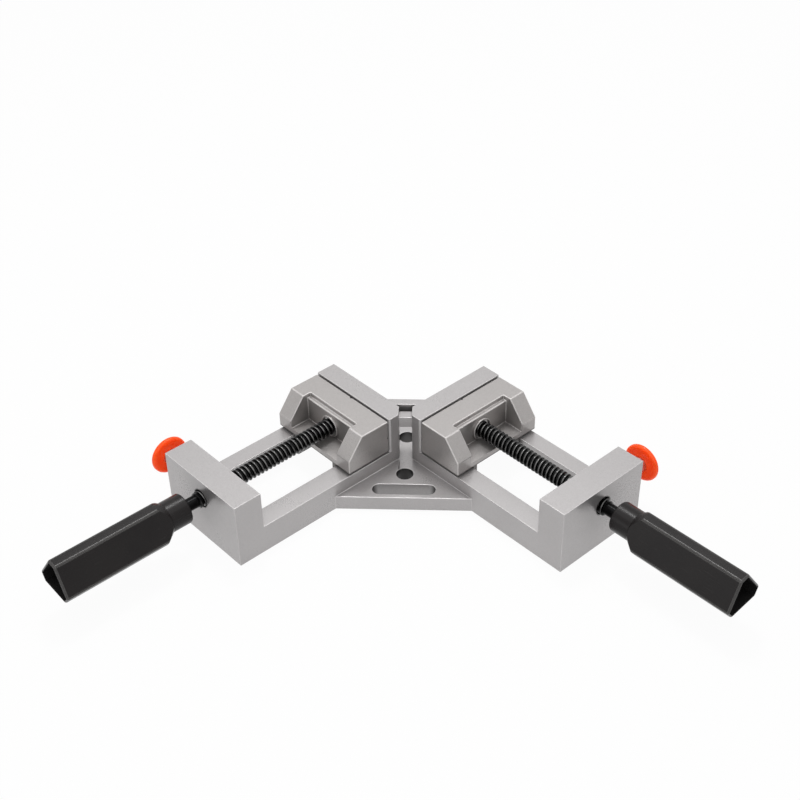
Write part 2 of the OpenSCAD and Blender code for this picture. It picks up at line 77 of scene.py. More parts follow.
class Wire:
    """A socket of a node tree that takes part in sums as a number does."""

    def __init__(self, shader: "Shader", socket: bpy.types.NodeSocket) -> None:
        """Keeps the socket and the shader that it belongs to."""
        self.shader = shader
        self.socket = socket

    def _sum(self, operation: str, first: Any, second: Any) -> "Wire":
        """Adds one Math node.

        Args:
            operation: The Math node's operation.
            first: The first value or wire.
            second: The second value or wire.

        Returns:
            The node's result.
        """
        return self.shader.node("ShaderNodeMath", {"operation": operation}, {0: first, 1: second})

    def __add__(self, other: Any) -> "Wire":
        """Gives self + other."""
        return self._sum("ADD", self, other)

    def __radd__(self, other: Any) -> "Wire":
        """Gives other + self."""
        return self._sum("ADD", other, self)

    def __sub__(self, other: Any) -> "Wire":
        """Gives self - other."""
        return self._sum("SUBTRACT", self, other)

    def __rsub__(self, other: Any) -> "Wire":
        """Gives other - self."""
        return self._sum("SUBTRACT", other, self)

    def __mul__(self, other: Any) -> "Wire":
        """Gives self * other."""
        return self._sum("MULTIPLY", self, other)

    def __rmul__(self, other: Any) -> "Wire":
        """Gives other * self."""
        return self._sum("MULTIPLY", other, self)

    def __pow__(self, other: Any) -> "Wire":
        """Gives self ** other."""
        return self._sum("POWER", self, other)

    def size(self) -> "Wire":
        """Gives the value without its sign."""
        return self._sum("ABSOLUTE", self, 0.0)

    def least(self, other: Any) -> "Wire":
        """Gives the value, or other where that is more."""
        return self._sum("MAXIMUM", self, other)

    def between(self, low: float, high: float) -> "Wire":
        """Eases from 0 at low to 1 at high.

        Args:
            low: The value that gives 0.
            high: The value that gives 1.

        Returns:
            The eased value, held between 0 and 1.
        """
        return self.shader.node(
            "ShaderNodeMapRange",
            {"interpolation_type": "SMOOTHSTEP", "clamp": True},
            {"Value": self, "From Min": low, "From Max": high},
        )


class Shader:
    """A node tree of a material or a world, with one method that adds any node."""

    def __init__(self, owner: bpy.types.ID) -> None:
        """Empties the node tree of a new material or world."""
        owner.use_nodes = True
        self.tree = owner.node_tree
        self.tree.nodes.clear()

    def node(self, kind: str, settings: dict[str, Any], inputs: dict[Any, Any], out: Any = 0) -> Wire:
        """Adds a node.

        Args:
            kind: The node's type.
            settings: Its own settings, which are set first.
            inputs: Values or wires by socket name or number.
            out: Name or number of the output that is wanted.

        Returns:
            That output.
        """
        made = self.tree.nodes.new(kind)
        for key, value in settings.items():
            setattr(made, key, value)
        for key, value in inputs.items():
            socket = made.inputs[key]
            if isinstance(value, Wire):
                self.tree.links.new(value.socket, socket)
            else:
                socket.default_value = value
        return Wire(self, made.outputs[out])

    def place(self) -> Wire:
        """Gives the point on the piece, in metres in the frame of the solids."""
        return self.node("ShaderNodeTexCoord", {}, {}, "Object")

    def normal(self, kind: str = "Normal") -> Wire:
        """Gives the smooth normal, or the face's own as True Normal."""
        return self.node("ShaderNodeNewGeometry", {}, {}, kind)

    def distance(self, vector: Wire, point: Place) -> Wire:
        """Gives the distance of a place from a point."""
        return self.node("ShaderNodeVectorMath", {"operation": "DISTANCE"}, {0: vector, 1: point}, "Value")

    def noise(self, vector: Wire, scale: float, detail: float = 2.0, rough: float = 0.5) -> Wire:
        """Adds a noise.

        Args:
            vector: The place that it reads.
            scale: Its features per metre.
            detail: Its number of finer layers.
            rough: The share of each finer layer.

        Returns:
            The noise, about 0.5 on average.
        """
        values = {"Vector": vector, "Scale": scale, "Detail": detail, "Roughness": rough}
        return self.node("ShaderNodeTexNoise", {}, values)

    def stretched(self, vector: Wire, scale: Colour) -> Wire:
        """Scales a place by a different factor along each axis."""
        return self.node("ShaderNodeVectorMath", {"operation": "MULTIPLY"}, {0: vector, 1: scale})

    def along(self, vector: Wire, way: Any) -> Wire:
        """Gives the share of a place or normal along a way of length 1."""
        return self.node("ShaderNodeVectorMath", {"operation": "DOT_PRODUCT"}, {0: vector, 1: way}, "Value")

    def mixed(self, factor: Any, first: Any, second: Any) -> Wire:
        """Mixes two colours.

        Args:
            factor: The share of the second colour.
            first: The colour at 0.
            second: The colour at 1.

        Returns:
            The mixed colour.
        """
        first = first if isinstance(first, Wire) else (*first, 1.0)
        second = second if isinstance(second, Wire) else (*second, 1.0)
        return self.node(
            "ShaderNodeMix", {"data_type": "RGBA"}, {"Factor": factor, 6: first, 7: second}, 2
        )

    def edges(self, radius: float) -> Wire:
        """Finds the outer and inner edges of a piece.

        Args:
            radius: The width that counts as an edge.

        Returns:
            0 on flat faces, rising to 1 along the edges.
        """
        softened = self.node("ShaderNodeBevel", {"samples": 4}, {"Radius": radius})
        return (1.0 - self.along(softened, self.normal("True Normal"))).between(0.01, 0.16)

    def shut_in(self, reach: float) -> Wire:
        """Finds the inner corners and holes of a piece.

        Args:
            reach: The distance over which walls shade each other.

        Returns:
            0 on open faces, rising towards 1 deep in a corner.
        """
        settings = {"only_local": True, "samples": 8}
        return 1.0 - self.node("ShaderNodeAmbientOcclusion", settings, {"Distance": reach}, "AO")

    def roundings(self) -> Wire:
        """Finds the modelled round edges, where the smooth normal leaves the face's own."""
        return (1.0 - self.along(self.normal(), self.normal("True Normal"))).between(0.0006, 0.004)

    def bump(self, height: Wire, distance: float, rounding: float = 0.0) -> Wire:
        """Turns a height into a normal.

        Args:
            height: The height, as a share of distance.
            distance: The real height of 1, in metres.
            rounding: The radius of edges that the mesh leaves sharp, in metres.

        Returns:
            The bumped normal.
        """
        inputs = {"Distance": distance, "Height": height}
        if rounding:
            inputs["Normal"] = self.node("ShaderNodeBevel", {"samples": 8}, {"Radius": rounding})
        return self.node("ShaderNodeBump", {}, inputs)

    def surface(self, **sockets: Any) -> None:
        """Closes the tree with one principled surface.

        Args:
            **sockets: Values or wires by socket name, with _ for a space.
        """
        inputs = {key.replace("_", " "): value for key, value in sockets.items()}
        self.close(self.node("ShaderNodeBsdfPrincipled", {}, inputs))

    def close(self, shaded: Wire, kind: str = "ShaderNodeOutputMaterial") -> None:
        """Links a shader to the output of the tree."""
        output = self.tree.nodes.new(kind)
        self.tree.links.new(shaded.socket, output.inputs["Surface"])

    def seen(self) -> Wire:
        """Gives 1 for rays that see the background, straight or by reflection, and 0 for light."""
        names = ("Is Camera Ray", "Is Glossy Ray", "Is Transmission Ray")
        rays = [self.node("ShaderNodeLightPath", {}, {}, name) for name in names]
        return (rays[0] + rays[1] + rays[2]).between(0.0, 0.5)


# Finishes


class Finish:
    """A surface that is made into a material once for each piece or kind of piece."""

    name: str

    def material(self) -> bpy.types.Material:
        """Builds the finish's material."""
        made = bpy.data.materials.new(self.name)
        self.paint(Shader(made))
        return made

    def paint(self, shader: Shader) -> None:
        """Adds the finish's nodes to an empty tree."""
        raise NotImplementedError


@dataclass(frozen=True)
class Opening:
    """A round hole or a slot across the diagonal, with the painted shade on its wall."""

    at: float
    radius: float
    # Strength of painted shade on the wall; the ends field gives it at a slot's round ends.
    dark: float
    half_run: float = 0.0
    margin: float = 0.00004
    fade: float = 0.00012
    ends: float = 0.95

    def shading(self, shader: Shader, place: Wire) -> tuple[Wire, Wire]:
        """Finds the wall of the opening and how strong its painted shade is.

        Args:
            shader: The tree that the nodes go into.
            place: The point on the piece.

        Returns:
            The share that is inside the opening, and the strength of its painted shade.
        """
        past = shader.along(place, ACROSS).size().least(self.half_run) - self.half_run
        away = (past**2.0 + (shader.along(place, BACKWARDS) - self.at) ** 2.0) ** 0.5
        edge = self.radius + self.margin
        inside = 1.0 - away.between(edge, edge + self.fade)
        turned_in = past.between(0.1 * self.radius, 0.95 * self.radius)
        # Painted shade, stronger towards the round ends of a slot.
        return inside, inside * (self.dark + (self.ends - self.dark) * turned_in)


@dataclass(frozen=True)
class BoreShade:
    """Painted shade around a spindle's bore on one face, standing for the handle's shadow and dark
    reflection there.
    """

    point: Place
    outwards: Place
    bore_r: float
    reach: float = 0.034

    def strength(self, shader: Shader, place: Wire, clouds: Wire) -> Wire:
        """Finds the painted shade around the bore.

        Args:
            shader: The tree that the nodes go into.
            place: The point on the piece.
            clouds: The noise that breaks it up.

        Returns:
            The strength of the painted shade, darkest in the bore's mouth and fading over the face.
        """
        off = shader.distance(place, self.point)
        facing = shader.along(shader.normal(), self.outwards).between(0.7, 0.95)
        # Painted shade on the face, standing for the handle's shadow and dark reflection.
        bore_face_shade = (1.0 - off.between(self.bore_r + 0.0002, self.reach)) * facing * (0.16 + 0.3 * clouds)
        # Painted shade in the bore's mouth.
        mouth = 1.0 - off.between(self.bore_r + 0.0003, self.bore_r + 0.001)
        return bore_face_shade.least(mouth * 0.9).between(0.0, 1.0)


@dataclass(frozen=True)
class CastMetal(Finish):
    """Blasted and lacquered aluminium casting, with edges lightened as worn metal and painted highlight, and
    painted shade in its corners and openings, around its bores and, on a jaw, along its underside and clamp
    face.
    """

    name: str
    slot: str
    colour: Colour
    # Pale colour of worn edges and grain, also used as painted highlight along the edges.
    rubbed_and_highlight: Colour
    dull: Colour
    # Colour of painted shade: in corners, around the bores and under and on the face of a jaw.
    deep: Colour
    # Share of that pale colour on the edges: worn edges and painted highlight.
    edge_highlight_and_wear: float
    # Colour of painted shade on the walls of holes and the slot.
    black: Colour = (0.011, 0.0105, 0.01)
    # A jaw's painted contact shadow: the height below which it falls, and the depth of painted shade on the
    # clamp face.
    contact_shaded_below: float = 0.0
    clamp_face_shaded_to: float = 0.0
    # Openings whose walls get painted shade.
    openings: tuple[Opening, ...] = ()
    # Bores that get painted shade around them.
    bore_shades: tuple[BoreShade, ...] = ()
    metallic: float = 0.6
    roughness: float = 0.31
    clouds: float = 24.0
    skin: float = 520.0
    pits: float = 900.0
    grain: float = 2400.0
    grain_height: float = 0.000025
    # Reach of the corner test that places painted shade.
    corner: float = 0.014

    def contact_shade(self, shader: Shader, place: Wire) -> Wire:
        """Finds where a jaw gets painted shade: a painted contact shadow along its underside and painted
        shade on its clamp face, where the gap to the wall falls dark.

        Args:
            shader: The tree that the nodes go into.
            place: The point on the piece.

        Returns:
            1 where the shade is painted and 0 elsewhere.
        """
        x, y, z = (shader.along(place, tuple(row)) for row in Matrix.Identity(3))
        under = 1.0 - z.between(self.contact_shaded_below - 0.0003, self.contact_shaded_below)
        facing = 1.0 - x.least(0.0 - y).between(self.clamp_face_shaded_to - 0.0005, self.clamp_face_shaded_to)
        return under.least(facing)

    def paint(self, shader: Shader) -> None:
        """Adds clouds, blasted grain, pits, painted shade in corners and openings, edges lightened as worn
        metal and painted highlight, and painted shade around the bores and on a jaw.

        Args:
            shader: The empty tree that takes the nodes.
        """
        place = shader.place()
        clouds = shader.noise(place, self.clouds, 3.0)
        grain = shader.noise(place, self.grain, 2.0, 0.6)
        skin = shader.noise(place, self.skin, 3.0, 0.6)
        pits = shader.noise(place, self.pits, 1.0).between(0.7, 0.78)
        hollow = shader.shut_in(self.corner)
        edge = shader.roundings() * (1.0 - hollow.between(0.35, 0.6)) * (0.65 + 0.7 * skin)
        # Painted shade in inner corners, left out inside the openings.
        corner_shade, black = hollow.between(0.3, 0.75) * 0.55, 0.0
        for opening in self.openings:
            inside, hole_shade = opening.shading(shader, place)
            corner_shade, black = corner_shade * (1.0 - inside), black + hole_shade
        base = shader.mixed((clouds - 0.5) * 0.5 + 0.2, self.colour, self.dull)
        base = shader.mixed(skin.between(0.35, 0.75) * 0.16, base, self.dull)
        base = shader.mixed(grain.between(0.35, 0.8) * 0.14, base, self.rubbed_and_highlight)
        base = shader.mixed(corner_shade, base, self.deep)
        # Edges lightened: partly worn metal, partly painted highlight.
        base = shader.mixed(edge.between(0.0, 1.0) * self.edge_highlight_and_wear, base, self.rubbed_and_highlight)
        base = shader.mixed(pits * 0.3, base, self.dull)
        # Painted shade on the walls of the openings.
        base = shader.mixed(black, base, self.black)
        # Painted contact shadow under a jaw and painted shade on its clamp face.
        if self.contact_shaded_below:
            base = shader.mixed(self.contact_shade(shader, place) * (0.6 + 0.4 * skin), base, self.deep)
        # Painted shade around the bores.
        for bore_shade in self.bore_shades:
            base = shader.mixed(bore_shade.strength(shader, place, clouds), base, self.deep)
        rough = self.roughness + 0.16 * (clouds - 0.5) + 0.12 * (grain - 0.5) + 0.28 * edge
        height = 0.7 * grain + 0.6 * skin - 0.5 * pits
        shader.surface(
            Base_Color=base,
            Metallic=self.metallic,
            Roughness=rough,
            Normal=shader.bump(height, self.grain_height),
        )


@dataclass(frozen=True)
class BareSteel(Finish):
    """Turned or ground steel with fine tool marks."""

    name: str
    slot: str
    colour: Colour
    stain: Colour
    metallic: float = 1.0
    roughness: float = 0.3
    marks: Place = (900.0, 900.0, 900.0)

    def paint(self, shader: Shader) -> None:
        """Adds tool marks, faint stains and bright edges.

        Args:
            shader: The empty tree that takes the nodes.
        """
        place = shader.place()
        marks = shader.noise(shader.stretched(place, self.marks), 1.0, 3.0, 0.6)
        clouds = shader.noise(place, 160.0, 3.0)
        edge = shader.edges(0.0004)
        base = shader.mixed(clouds.between(0.4, 0.75) * 0.45, self.colour, self.stain)
        base = shader.mixed(edge * 0.3, base, (0.8, 0.8, 0.8))
        rough = self.roughness + 0.22 * (marks - 0.5) + 0.18 * (clouds - 0.5)
        shader.surface(
            Base_Color=base,
            Metallic=self.metallic,
            Roughness=rough,
            Normal=shader.bump(marks, 0.000012, 0.0003),
        )


@dataclass(frozen=True)
class BlackedThread(Finish):
    """Blackened steel spindle, with painted shade in the roots of its thread and crests lightened as worn
    bare metal and painted highlight.
    """

    name: str
    slot: str
    axis_point: Place
    along: Place
    crest_r: float
    root_r: float
    # Root colour, kept darker than the flanks as painted shade.
    colour: Colour = (0.004, 0.004, 0.0042)
    flank: Colour = (0.012, 0.012, 0.0125)
    # Crest colour: worn bare metal and painted highlight.
    rubbed_and_highlight: Colour = (0.15, 0.148, 0.146)

    def paint(self, shader: Shader) -> None:
        """Adds black roots as painted shade, grey flanks and crests lightened as worn metal and painted
        highlight, by the distance from the axis.

        Args:
            shader: The empty tree that takes the nodes.
        """
        place = shader.place()
        offset = shader.node(
            "ShaderNodeVectorMath", {"operation": "SUBTRACT"}, {0: place, 1: self.axis_point}
        )
        across = shader.stretched(offset, tuple(1.0 - abs(share) for share in self.along))
        radius = shader.node("ShaderNodeVectorMath", {"operation": "LENGTH"}, {0: across}, "Value")
        oil = shader.noise(place, 220.0, 3.0)
        grain = shader.noise(place, 3200.0, 2.0)
        flank = radius.between(self.root_r, self.crest_r - 0.0003)
        crest = radius.between(self.crest_r - 0.00035, self.crest_r - 0.00005) * oil.between(0.25, 0.6)
        # Darker roots are painted shade; lighter crests are worn metal and painted highlight.
        base = shader.mixed(flank, self.colour, self.flank)
        base = shader.mixed(crest * 0.85, base, self.rubbed_and_highlight)
        base = shader.mixed(grain.between(0.5, 0.9) * 0.25, base, self.colour)
        rough = 0.17 + 0.12 * (oil - 0.5) + 0.12 * (grain - 0.5)
        shader.surface(
            Base_Color=base,
            Metallic=0.9,
            Roughness=rough,
            Normal=shader.bump(grain, 0.00001),
        )


@dataclass(frozen=True)
class MouldedPlastic(Finish):
    """Moulded plastic with a fine spark texture, faint flow, edges lightened by scuffing and painted
    highlight, painted shade in a hollow and an emitted painted glow.
    """

    name: str
    slot: str
    colour: Colour
    # Pale colour of scuffs, also used as painted highlight along the edges.
    rubbed_and_highlight: Colour
    shade: Colour
    roughness: float
    texture: float = 3000.0
    texture_height: float = 0.00002
    scuffs: Place = (90.0, 90.0, 900.0)
    # Strength and colour of painted shade inside the hollow.
    hollow: float = 0.0
    inside: Colour = (0.0015, 0.0012, 0.0012)
    reach: float = 0.05
    shine: float = 0.5
    coat: float = 0.0
    glow: float = 0.0
    # Strength of the emitted colour: a painted glow.
    emitted_glow: float = 0.0

    def paint(self, shader: Shader) -> None:
        """Adds spark texture, flow, scuffs, edges lightened by scuffing and painted highlight, painted shade
        in the hollow and an emitted painted glow.

        Args:
            shader: The empty tree that takes the nodes.
        """
        place = shader.place()
        texture = shader.noise(place, self.texture, 2.0, 0.6)
        flow = shader.noise(place, 45.0, 2.0)
        scuffs = shader.noise(shader.stretched(place, self.scuffs), 1.0, 4.0, 0.65).between(0.58, 0.75)
        inner = shader.shut_in(self.reach).between(0.3, 0.5)
        edge = shader.roundings() * (0.6 + 0.8 * flow) * (1.0 - inner)
        base = shader.mixed(flow.between(0.3, 0.7) * 0.5, self.colour, self.shade)
        # Painted shade inside the hollow.
        base = shader.mixed(inner * self.hollow, base, self.inside)
        # Edges lightened: scuffing and painted highlight.
        base = shader.mixed(edge.between(0.0, 1.0) * 0.5, base, self.rubbed_and_highlight)
        base = shader.mixed(scuffs * 0.03, base, self.rubbed_and_highlight)
        rough = self.roughness + 0.1 * (flow - 0.5) + 0.12 * (texture - 0.5)
        rough = rough + 0.06 * scuffs + 0.5 * self.hollow * inner
        shader.surface(
            Base_Color=base,
            Roughness=rough,
            Specular_IOR_Level=self.shine,
            Coat_Weight=self.coat,
            Coat_Roughness=0.12,
            Subsurface_Weight=self.glow,
            Subsurface_Radius=(0.006, 0.0024, 0.0012),
            Subsurface_Scale=1.0,
            # The base colour is emitted as a painted glow.
            Emission_Color=base,
            Emission_Strength=self.emitted_glow,
            Normal=shader.bump(texture, self.texture_height),
        )


CASTING = CastMetal(
    "cast_aluminium",
    "casting",
    colour=(0.44, 0.425, 0.425),
    rubbed_and_highlight=(0.88, 0.87, 0.865),
    dull=(0.32, 0.306, 0.306),
    # Colour of painted shade.
    deep=(0.08, 0.076, 0.075),
    edge_highlight_and_wear=0.28,
)
JAW_CASTING = CastMetal(
    "jaw_aluminium",
    "jaw_casting",
    colour=(0.405, 0.386, 0.378),
    rubbed_and_highlight=(0.88, 0.86, 0.85),
    # Colour of painted shade.
    dull=(0.285, 0.27, 0.262),
    deep=(0.07, 0.065, 0.062),
    edge_highlight_and_wear=0.42,
)
PLATED = BareSteel("plated_steel", "steel", colour=(0.62, 0.62, 0.62), stain=(0.45, 0.44, 0.42))
SCREW_STEEL = BareSteel(
    "oiled_screw_steel", "dark_steel", colour=(0.16, 0.16, 0.165), stain=(0.08, 0.078, 0.075), roughness=0.38
)
HANDLE = MouldedPlastic(
    "black_handle_plastic",
    "black_plastic",
    colour=(0.0092, 0.0076, 0.0077),
    rubbed_and_highlight=(0.2, 0.195, 0.19),
    shade=(0.0155, 0.013, 0.0125),
    roughness=0.26,
    shine=0.19,
    # Full painted shade inside the hollow.
    hollow=1.0,
)
BUTTON = MouldedPlastic(
    "orange_button_plastic",
    "orange_plastic",
    colour=(1.0, 0.066, 0.004),
    rubbed_and_highlight=(1.0, 0.17, 0.025),
    shade=(0.97, 0.05, 0.003),
    roughness=0.34,
    texture=1800.0,
    texture_height=0.000008,
    shine=0.25,
    coat=0.04,
    glow=0.4,
    # Painted glow from the button's own colour.
    emitted_glow=0.25,
)


# Modelling by hand


def deselect() -> None:
    """Leaves nothing selected."""
    if bpy.context.object is not None and bpy.context.object.mode != "OBJECT":
        bpy.ops.object.mode_set(mode="OBJECT")
    bpy.ops.object.select_all(action="DESELECT")


def take_up(piece: bpy.types.Object) -> None:
    """Makes a piece the only selected and active one.

    Args:
        piece: The piece that is worked on next.
    """
    deselect()
    piece.select_set(True)
    bpy.context.view_layer.objects.active = piece


def apply_modifier(piece: bpy.types.Object, kind: str, **settings: Any) -> None:
    """Adds a modifier and applies it.

    Args:
        piece: The piece that it changes.
        kind: The modifier's type.
        **settings: Its settings.
    """
    take_up(piece)
    modifier = piece.modifiers.new(kind.lower(), kind)
    for key, value in settings.items():
        setattr(modifier, key, value)
    bpy.ops.object.modifier_apply(modifier=modifier.name)


def turned(name: str, profile: Sequence[tuple[float, float]], steps: int = 64) -> bpy.types.Object:
    """Turns a solid about +Z from a circle that is extruded and scaled ring by ring.

    Args:
        name: The piece's name.
        profile: Radius and height of each ring, upwards.
        steps: The number of sides.

    Returns:
        The closed piece.
    """
    deselect()
    (first_r, first_z), rest = profile[0], profile[1:]
    bpy.ops.mesh.primitive_circle_add(vertices=steps, radius=first_r, location=(0.0, 0.0, first_z))
    piece = bpy.context.object
    piece.name = name
    bpy.ops.object.transform_apply(location=True, rotation=True, scale=True)
    bpy.ops.object.mode_set(mode="EDIT")
    bpy.ops.mesh.select_all(action="SELECT")
    last_r, last_z = first_r, first_z
    for radius, height in rest:
        bpy.ops.mesh.extrude_edges_move(TRANSFORM_OT_translate={"value": (0.0, 0.0, height - last_z)})
        share = radius / last_r
        bpy.ops.transform.resize(value=(share, share, 1.0), center_override=(0.0, 0.0, height))
        last_r, last_z = radius, height
    bpy.ops.mesh.select_all(action="SELECT")
    bpy.ops.mesh.fill_holes(sides=0)
    bpy.ops.mesh.select_all(action="SELECT")
    bpy.ops.mesh.normals_make_consistent(inside=False)
    bpy.ops.object.mode_set(mode="OBJECT")
    return piece


def stroke(name: str, points: Sequence[Place]) -> bpy.types.Object:
    """Draws a line from one vertex, extruded point by point.

    Args:
        name: The piece's name.
        points: The line's points.

    Returns:
        The line.
    """
    deselect()
    bpy.ops.mesh.primitive_plane_add(size=0.01, location=(0.0, 0.0, 0.0))
    piece = bpy.context.object
    piece.name = name
    bpy.ops.object.mode_set(mode="EDIT")
    bpy.ops.mesh.select_all(action="SELECT")
    bpy.ops.mesh.merge(type="CENTER")
    bpy.ops.transform.translate(value=points[0])
    for last, point in zip(points, points[1:]):
        step = Vector(point) - Vector(last)
        bpy.ops.mesh.extrude_vertices_move(TRANSFORM_OT_translate={"value": step})
    bpy.ops.object.mode_set(mode="OBJECT")
    return piece


def prism(name: str, outline: Sequence[Place], along: Place, taper: float = 1.0) -> bpy.types.Object:
    """Extrudes a flat outline to a solid.

    Args:
        name: The piece's name.
        outline: The outline's points in order.
        along: The way and length of the extrusion.
        taper: The size of its far end about +Z, as a share of the outline.

    Returns:
        The closed piece.
    """
    piece = stroke(name, outline)
    take_up(piece)
    bpy.ops.object.mode_set(mode="EDIT")
    bpy.ops.mesh.select_all(action="SELECT")
    bpy.ops.mesh.edge_face_add()
    bpy.ops.mesh.extrude_region_move(TRANSFORM_OT_translate={"value": along})
    bpy.ops.transform.resize(value=(taper, taper, 1.0), center_override=(0.0, 0.0, 0.0))
    bpy.ops.mesh.select_all(action="SELECT")
    bpy.ops.mesh.normals_make_consistent(inside=False)
    bpy.ops.object.mode_set(mode="OBJECT")
    return piece


def block(name: str, low: Place, high: Place) -> bpy.types.Object:
    """Adds a square block between two corners, to be shaped further.

    Args:
        name: The block's name.
        low: Its lowest corner.
        high: Its highest corner.

    Returns:
        The block.
    """
    deselect()
    size = Vector(high) - Vector(low)
    bpy.ops.mesh.primitive_cube_add(size=1.0, location=Vector(low) + size / 2.0)
    piece = bpy.context.object
    piece.name, piece.scale = name, size
    bpy.ops.object.transform_apply(location=True, rotation=True, scale=True)
    return piece


def picked(piece: bpy.types.Object, test: Callable[[Vector], bool], sharp: float = 0.0) -> None:
    """Selects edges by the place of their middle and leaves edit mode on.

    Args:
        piece: The piece.
        test: Tells the places that count.
        sharp: The least angle of an edge that counts, in degrees.
    """
    take_up(piece)
    bpy.ops.object.mode_set(mode="EDIT")
    bpy.ops.mesh.select_mode(type="EDGE")
    bpy.ops.mesh.select_all(action="DESELECT" if sharp else "SELECT")
    if sharp:
        bpy.ops.mesh.edges_select_sharp(sharpness=math.radians(sharp))
    bpy.ops.object.mode_set(mode="OBJECT")
    mesh = piece.data
    for face in mesh.polygons:
        face.select = False
    for edge in mesh.edges:
        start, stop = (mesh.vertices[number].co for number in edge.vertices)
        edge.select = edge.select and test((start + stop) / 2.0)
    bpy.ops.object.mode_set(mode="EDIT")


def unseamed(piece: bpy.types.Object, test: Callable[[Vector], bool]) -> None:
    """Takes away edges between flush faces.

    Args:
        piece: The piece.
        test: Tells the places of the edges that go.
    """
    picked(piece, test)
    bpy.ops.mesh.dissolve_edges(use_verts=False)
    bpy.ops.mesh.select_mode(type="VERT")
    bpy.ops.object.mode_set(mode="OBJECT")


def rounded(
    piece: bpy.types.Object,
    width: float,
    segments: int = 3,
    test: Callable[[Vector], bool] = lambda place: True,
    angle: float = 30.0,
) -> None:
    """Rounds the sharp edges of a piece.

    Args:
        piece: The piece that is rounded.
        width: The width of the rounding.
        segments: The number of facets of the rounding.
        test: Tells the places of edges that are rounded.
        angle: The least angle of an edge that is rounded, in degrees.
    """
    apply_modifier(piece, "WELD", merge_threshold=FLUSH)
    picked(piece, test, angle)
    bpy.ops.mesh.bevel(
        offset=width, segments=segments, affect="EDGES", clamp_overlap=False, miter_outer="ARC"
    )
    bpy.ops.mesh.select_mode(type="VERT")
    bpy.ops.object.mode_set(mode="OBJECT")


def cut_square(piece: bpy.types.Object, height: float, keep_above: bool) -> None:
    """Cuts a piece square across +Z and closes the cut.

    Args:
        piece: The piece that is cut.
        height: Where it is cut.
        keep_above: Whether the upper part is kept.
    """
    take_up(piece)
    bpy.ops.object.mode_set(mode="EDIT")
    bpy.ops.mesh.select_all(action="SELECT")
    bpy.ops.mesh.bisect(
        plane_co=(0.0, 0.0, height),
        plane_no=(0.0, 0.0, 1.0),
        use_fill=True,
        clear_inner=keep_above,
        clear_outer=not keep_above,
    )
    bpy.ops.object.mode_set(mode="OBJECT")


def joined(piece: bpy.types.Object, other: bpy.types.Object, operation: str) -> None:
    """Joins, cuts or trims a piece by another, which is used up.

    Args:
        piece: The piece that stays.
        other: The piece that is used up.
        operation: UNION, DIFFERENCE or INTERSECT.
    """
    apply_modifier(piece, "BOOLEAN", operation=operation, object=other, solver="EXACT")
    bpy.data.objects.remove(other)


def set_down(piece: bpy.types.Object, matrix: Matrix) -> bpy.types.Object:
    """Moves a piece to its place and puts the place into its mesh.

    Args:
        piece: The piece.
        matrix: Its place, which may be a mirror image.

    Returns:
        The same piece.
    """
    take_up(piece)
    piece.matrix_world = matrix
    bpy.ops.object.transform_apply(location=True, rotation=True, scale=True)
    if matrix.determinant() < 0.0:
        bpy.ops.object.mode_set(mode="EDIT")
        bpy.ops.mesh.select_all(action="SELECT")
        bpy.ops.mesh.normals_make_consistent(inside=False)
        bpy.ops.object.mode_set(mode="OBJECT")
    return piece


def copied(piece: bpy.types.Object, name: str) -> bpy.types.Object:
    """Copies a piece.

    Args:
        piece: The piece.
        name: The copy's name.

    Returns:
        The copy, with its own mesh.
    """
    take_up(piece)
    bpy.ops.object.duplicate(linked=False)
    twin = bpy.context.object
    twin.name = name
    return twin


def smoothed(piece: bpy.types.Object, angle: float) -> None:
    """Shades a piece smooth, with flat faces kept flat.

    Args:
        piece: The piece.
        angle: The least angle of an edge that stays sharp, in degrees.
    """
    take_up(piece)
    bpy.ops.object.shade_smooth_by_angle(angle=math.radians(angle))
    apply_modifier(piece, "WEIGHTED_NORMAL", keep_sharp=True, weight=100)


def dress(piece: bpy.types.Object, material: bpy.types.Material) -> None:
    """Gives a piece one material.

    Args:
        piece: The piece.
        material: Its material.
    """
    if not piece.material_slots:
        piece.data.materials.append(None)
    for slot in piece.material_slots:
        slot.material = material


def solid(node: str) -> bpy.types.Object:
    """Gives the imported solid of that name."""
    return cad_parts[node]


def handed_in(
    piece: bpy.types.Object, material: bpy.types.Material, body: str, node: str
) -> None:
    """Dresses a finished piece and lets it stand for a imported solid.

    Args:
        piece: The finished piece.
        material: Its material.
        body: The body that it moves with.
        node: The solid that it stands for.
    """
    dress(piece, material)
    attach(piece, body)
    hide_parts(node)
    LOG.info("%s made with %d faces", piece.name, len(piece.data.polygons))


# Sub-assemblies


@dataclass(frozen=True)
class Layout:
    """Places that the pieces of an arm share, given for the right arm."""

    near: float = 0.0133
    width: float = 0.068
    wall_h: float = 0.044
    rail_len: float = 0.098
    rail_w: float = 0.0136
    rail_h: float = 0.0187
    block_t: float = 0.0189
    axis_z: float = 0.0304
    lap: float = 0.001

    @property
    def far(self) -> float:
        """Gives the far side of the arm."""
        return self.near + self.width

    @property
    def axis_y(self) -> float:
        """Gives the spindle axis across the arm."""
        return self.near + self.width / 2.0

    def on_spindle(self) -> Matrix:
        """Gives the place that turns +Z outwards along the spindle axis."""
        turn = Matrix.Rotation(math.radians(90.0), 4, "Y")
        return Matrix.Translation((0.0, self.axis_y, self.axis_z)) @ turn

    def on_release(self) -> Matrix:
        """Gives the place that turns +Z across the end block towards the button."""
        turn = Matrix.Rotation(math.radians(-90.0), 4, "X")
        return Matrix.Translation((self.rail_len + self.block_t / 2.0, 0.0, self.axis_z)) @ turn


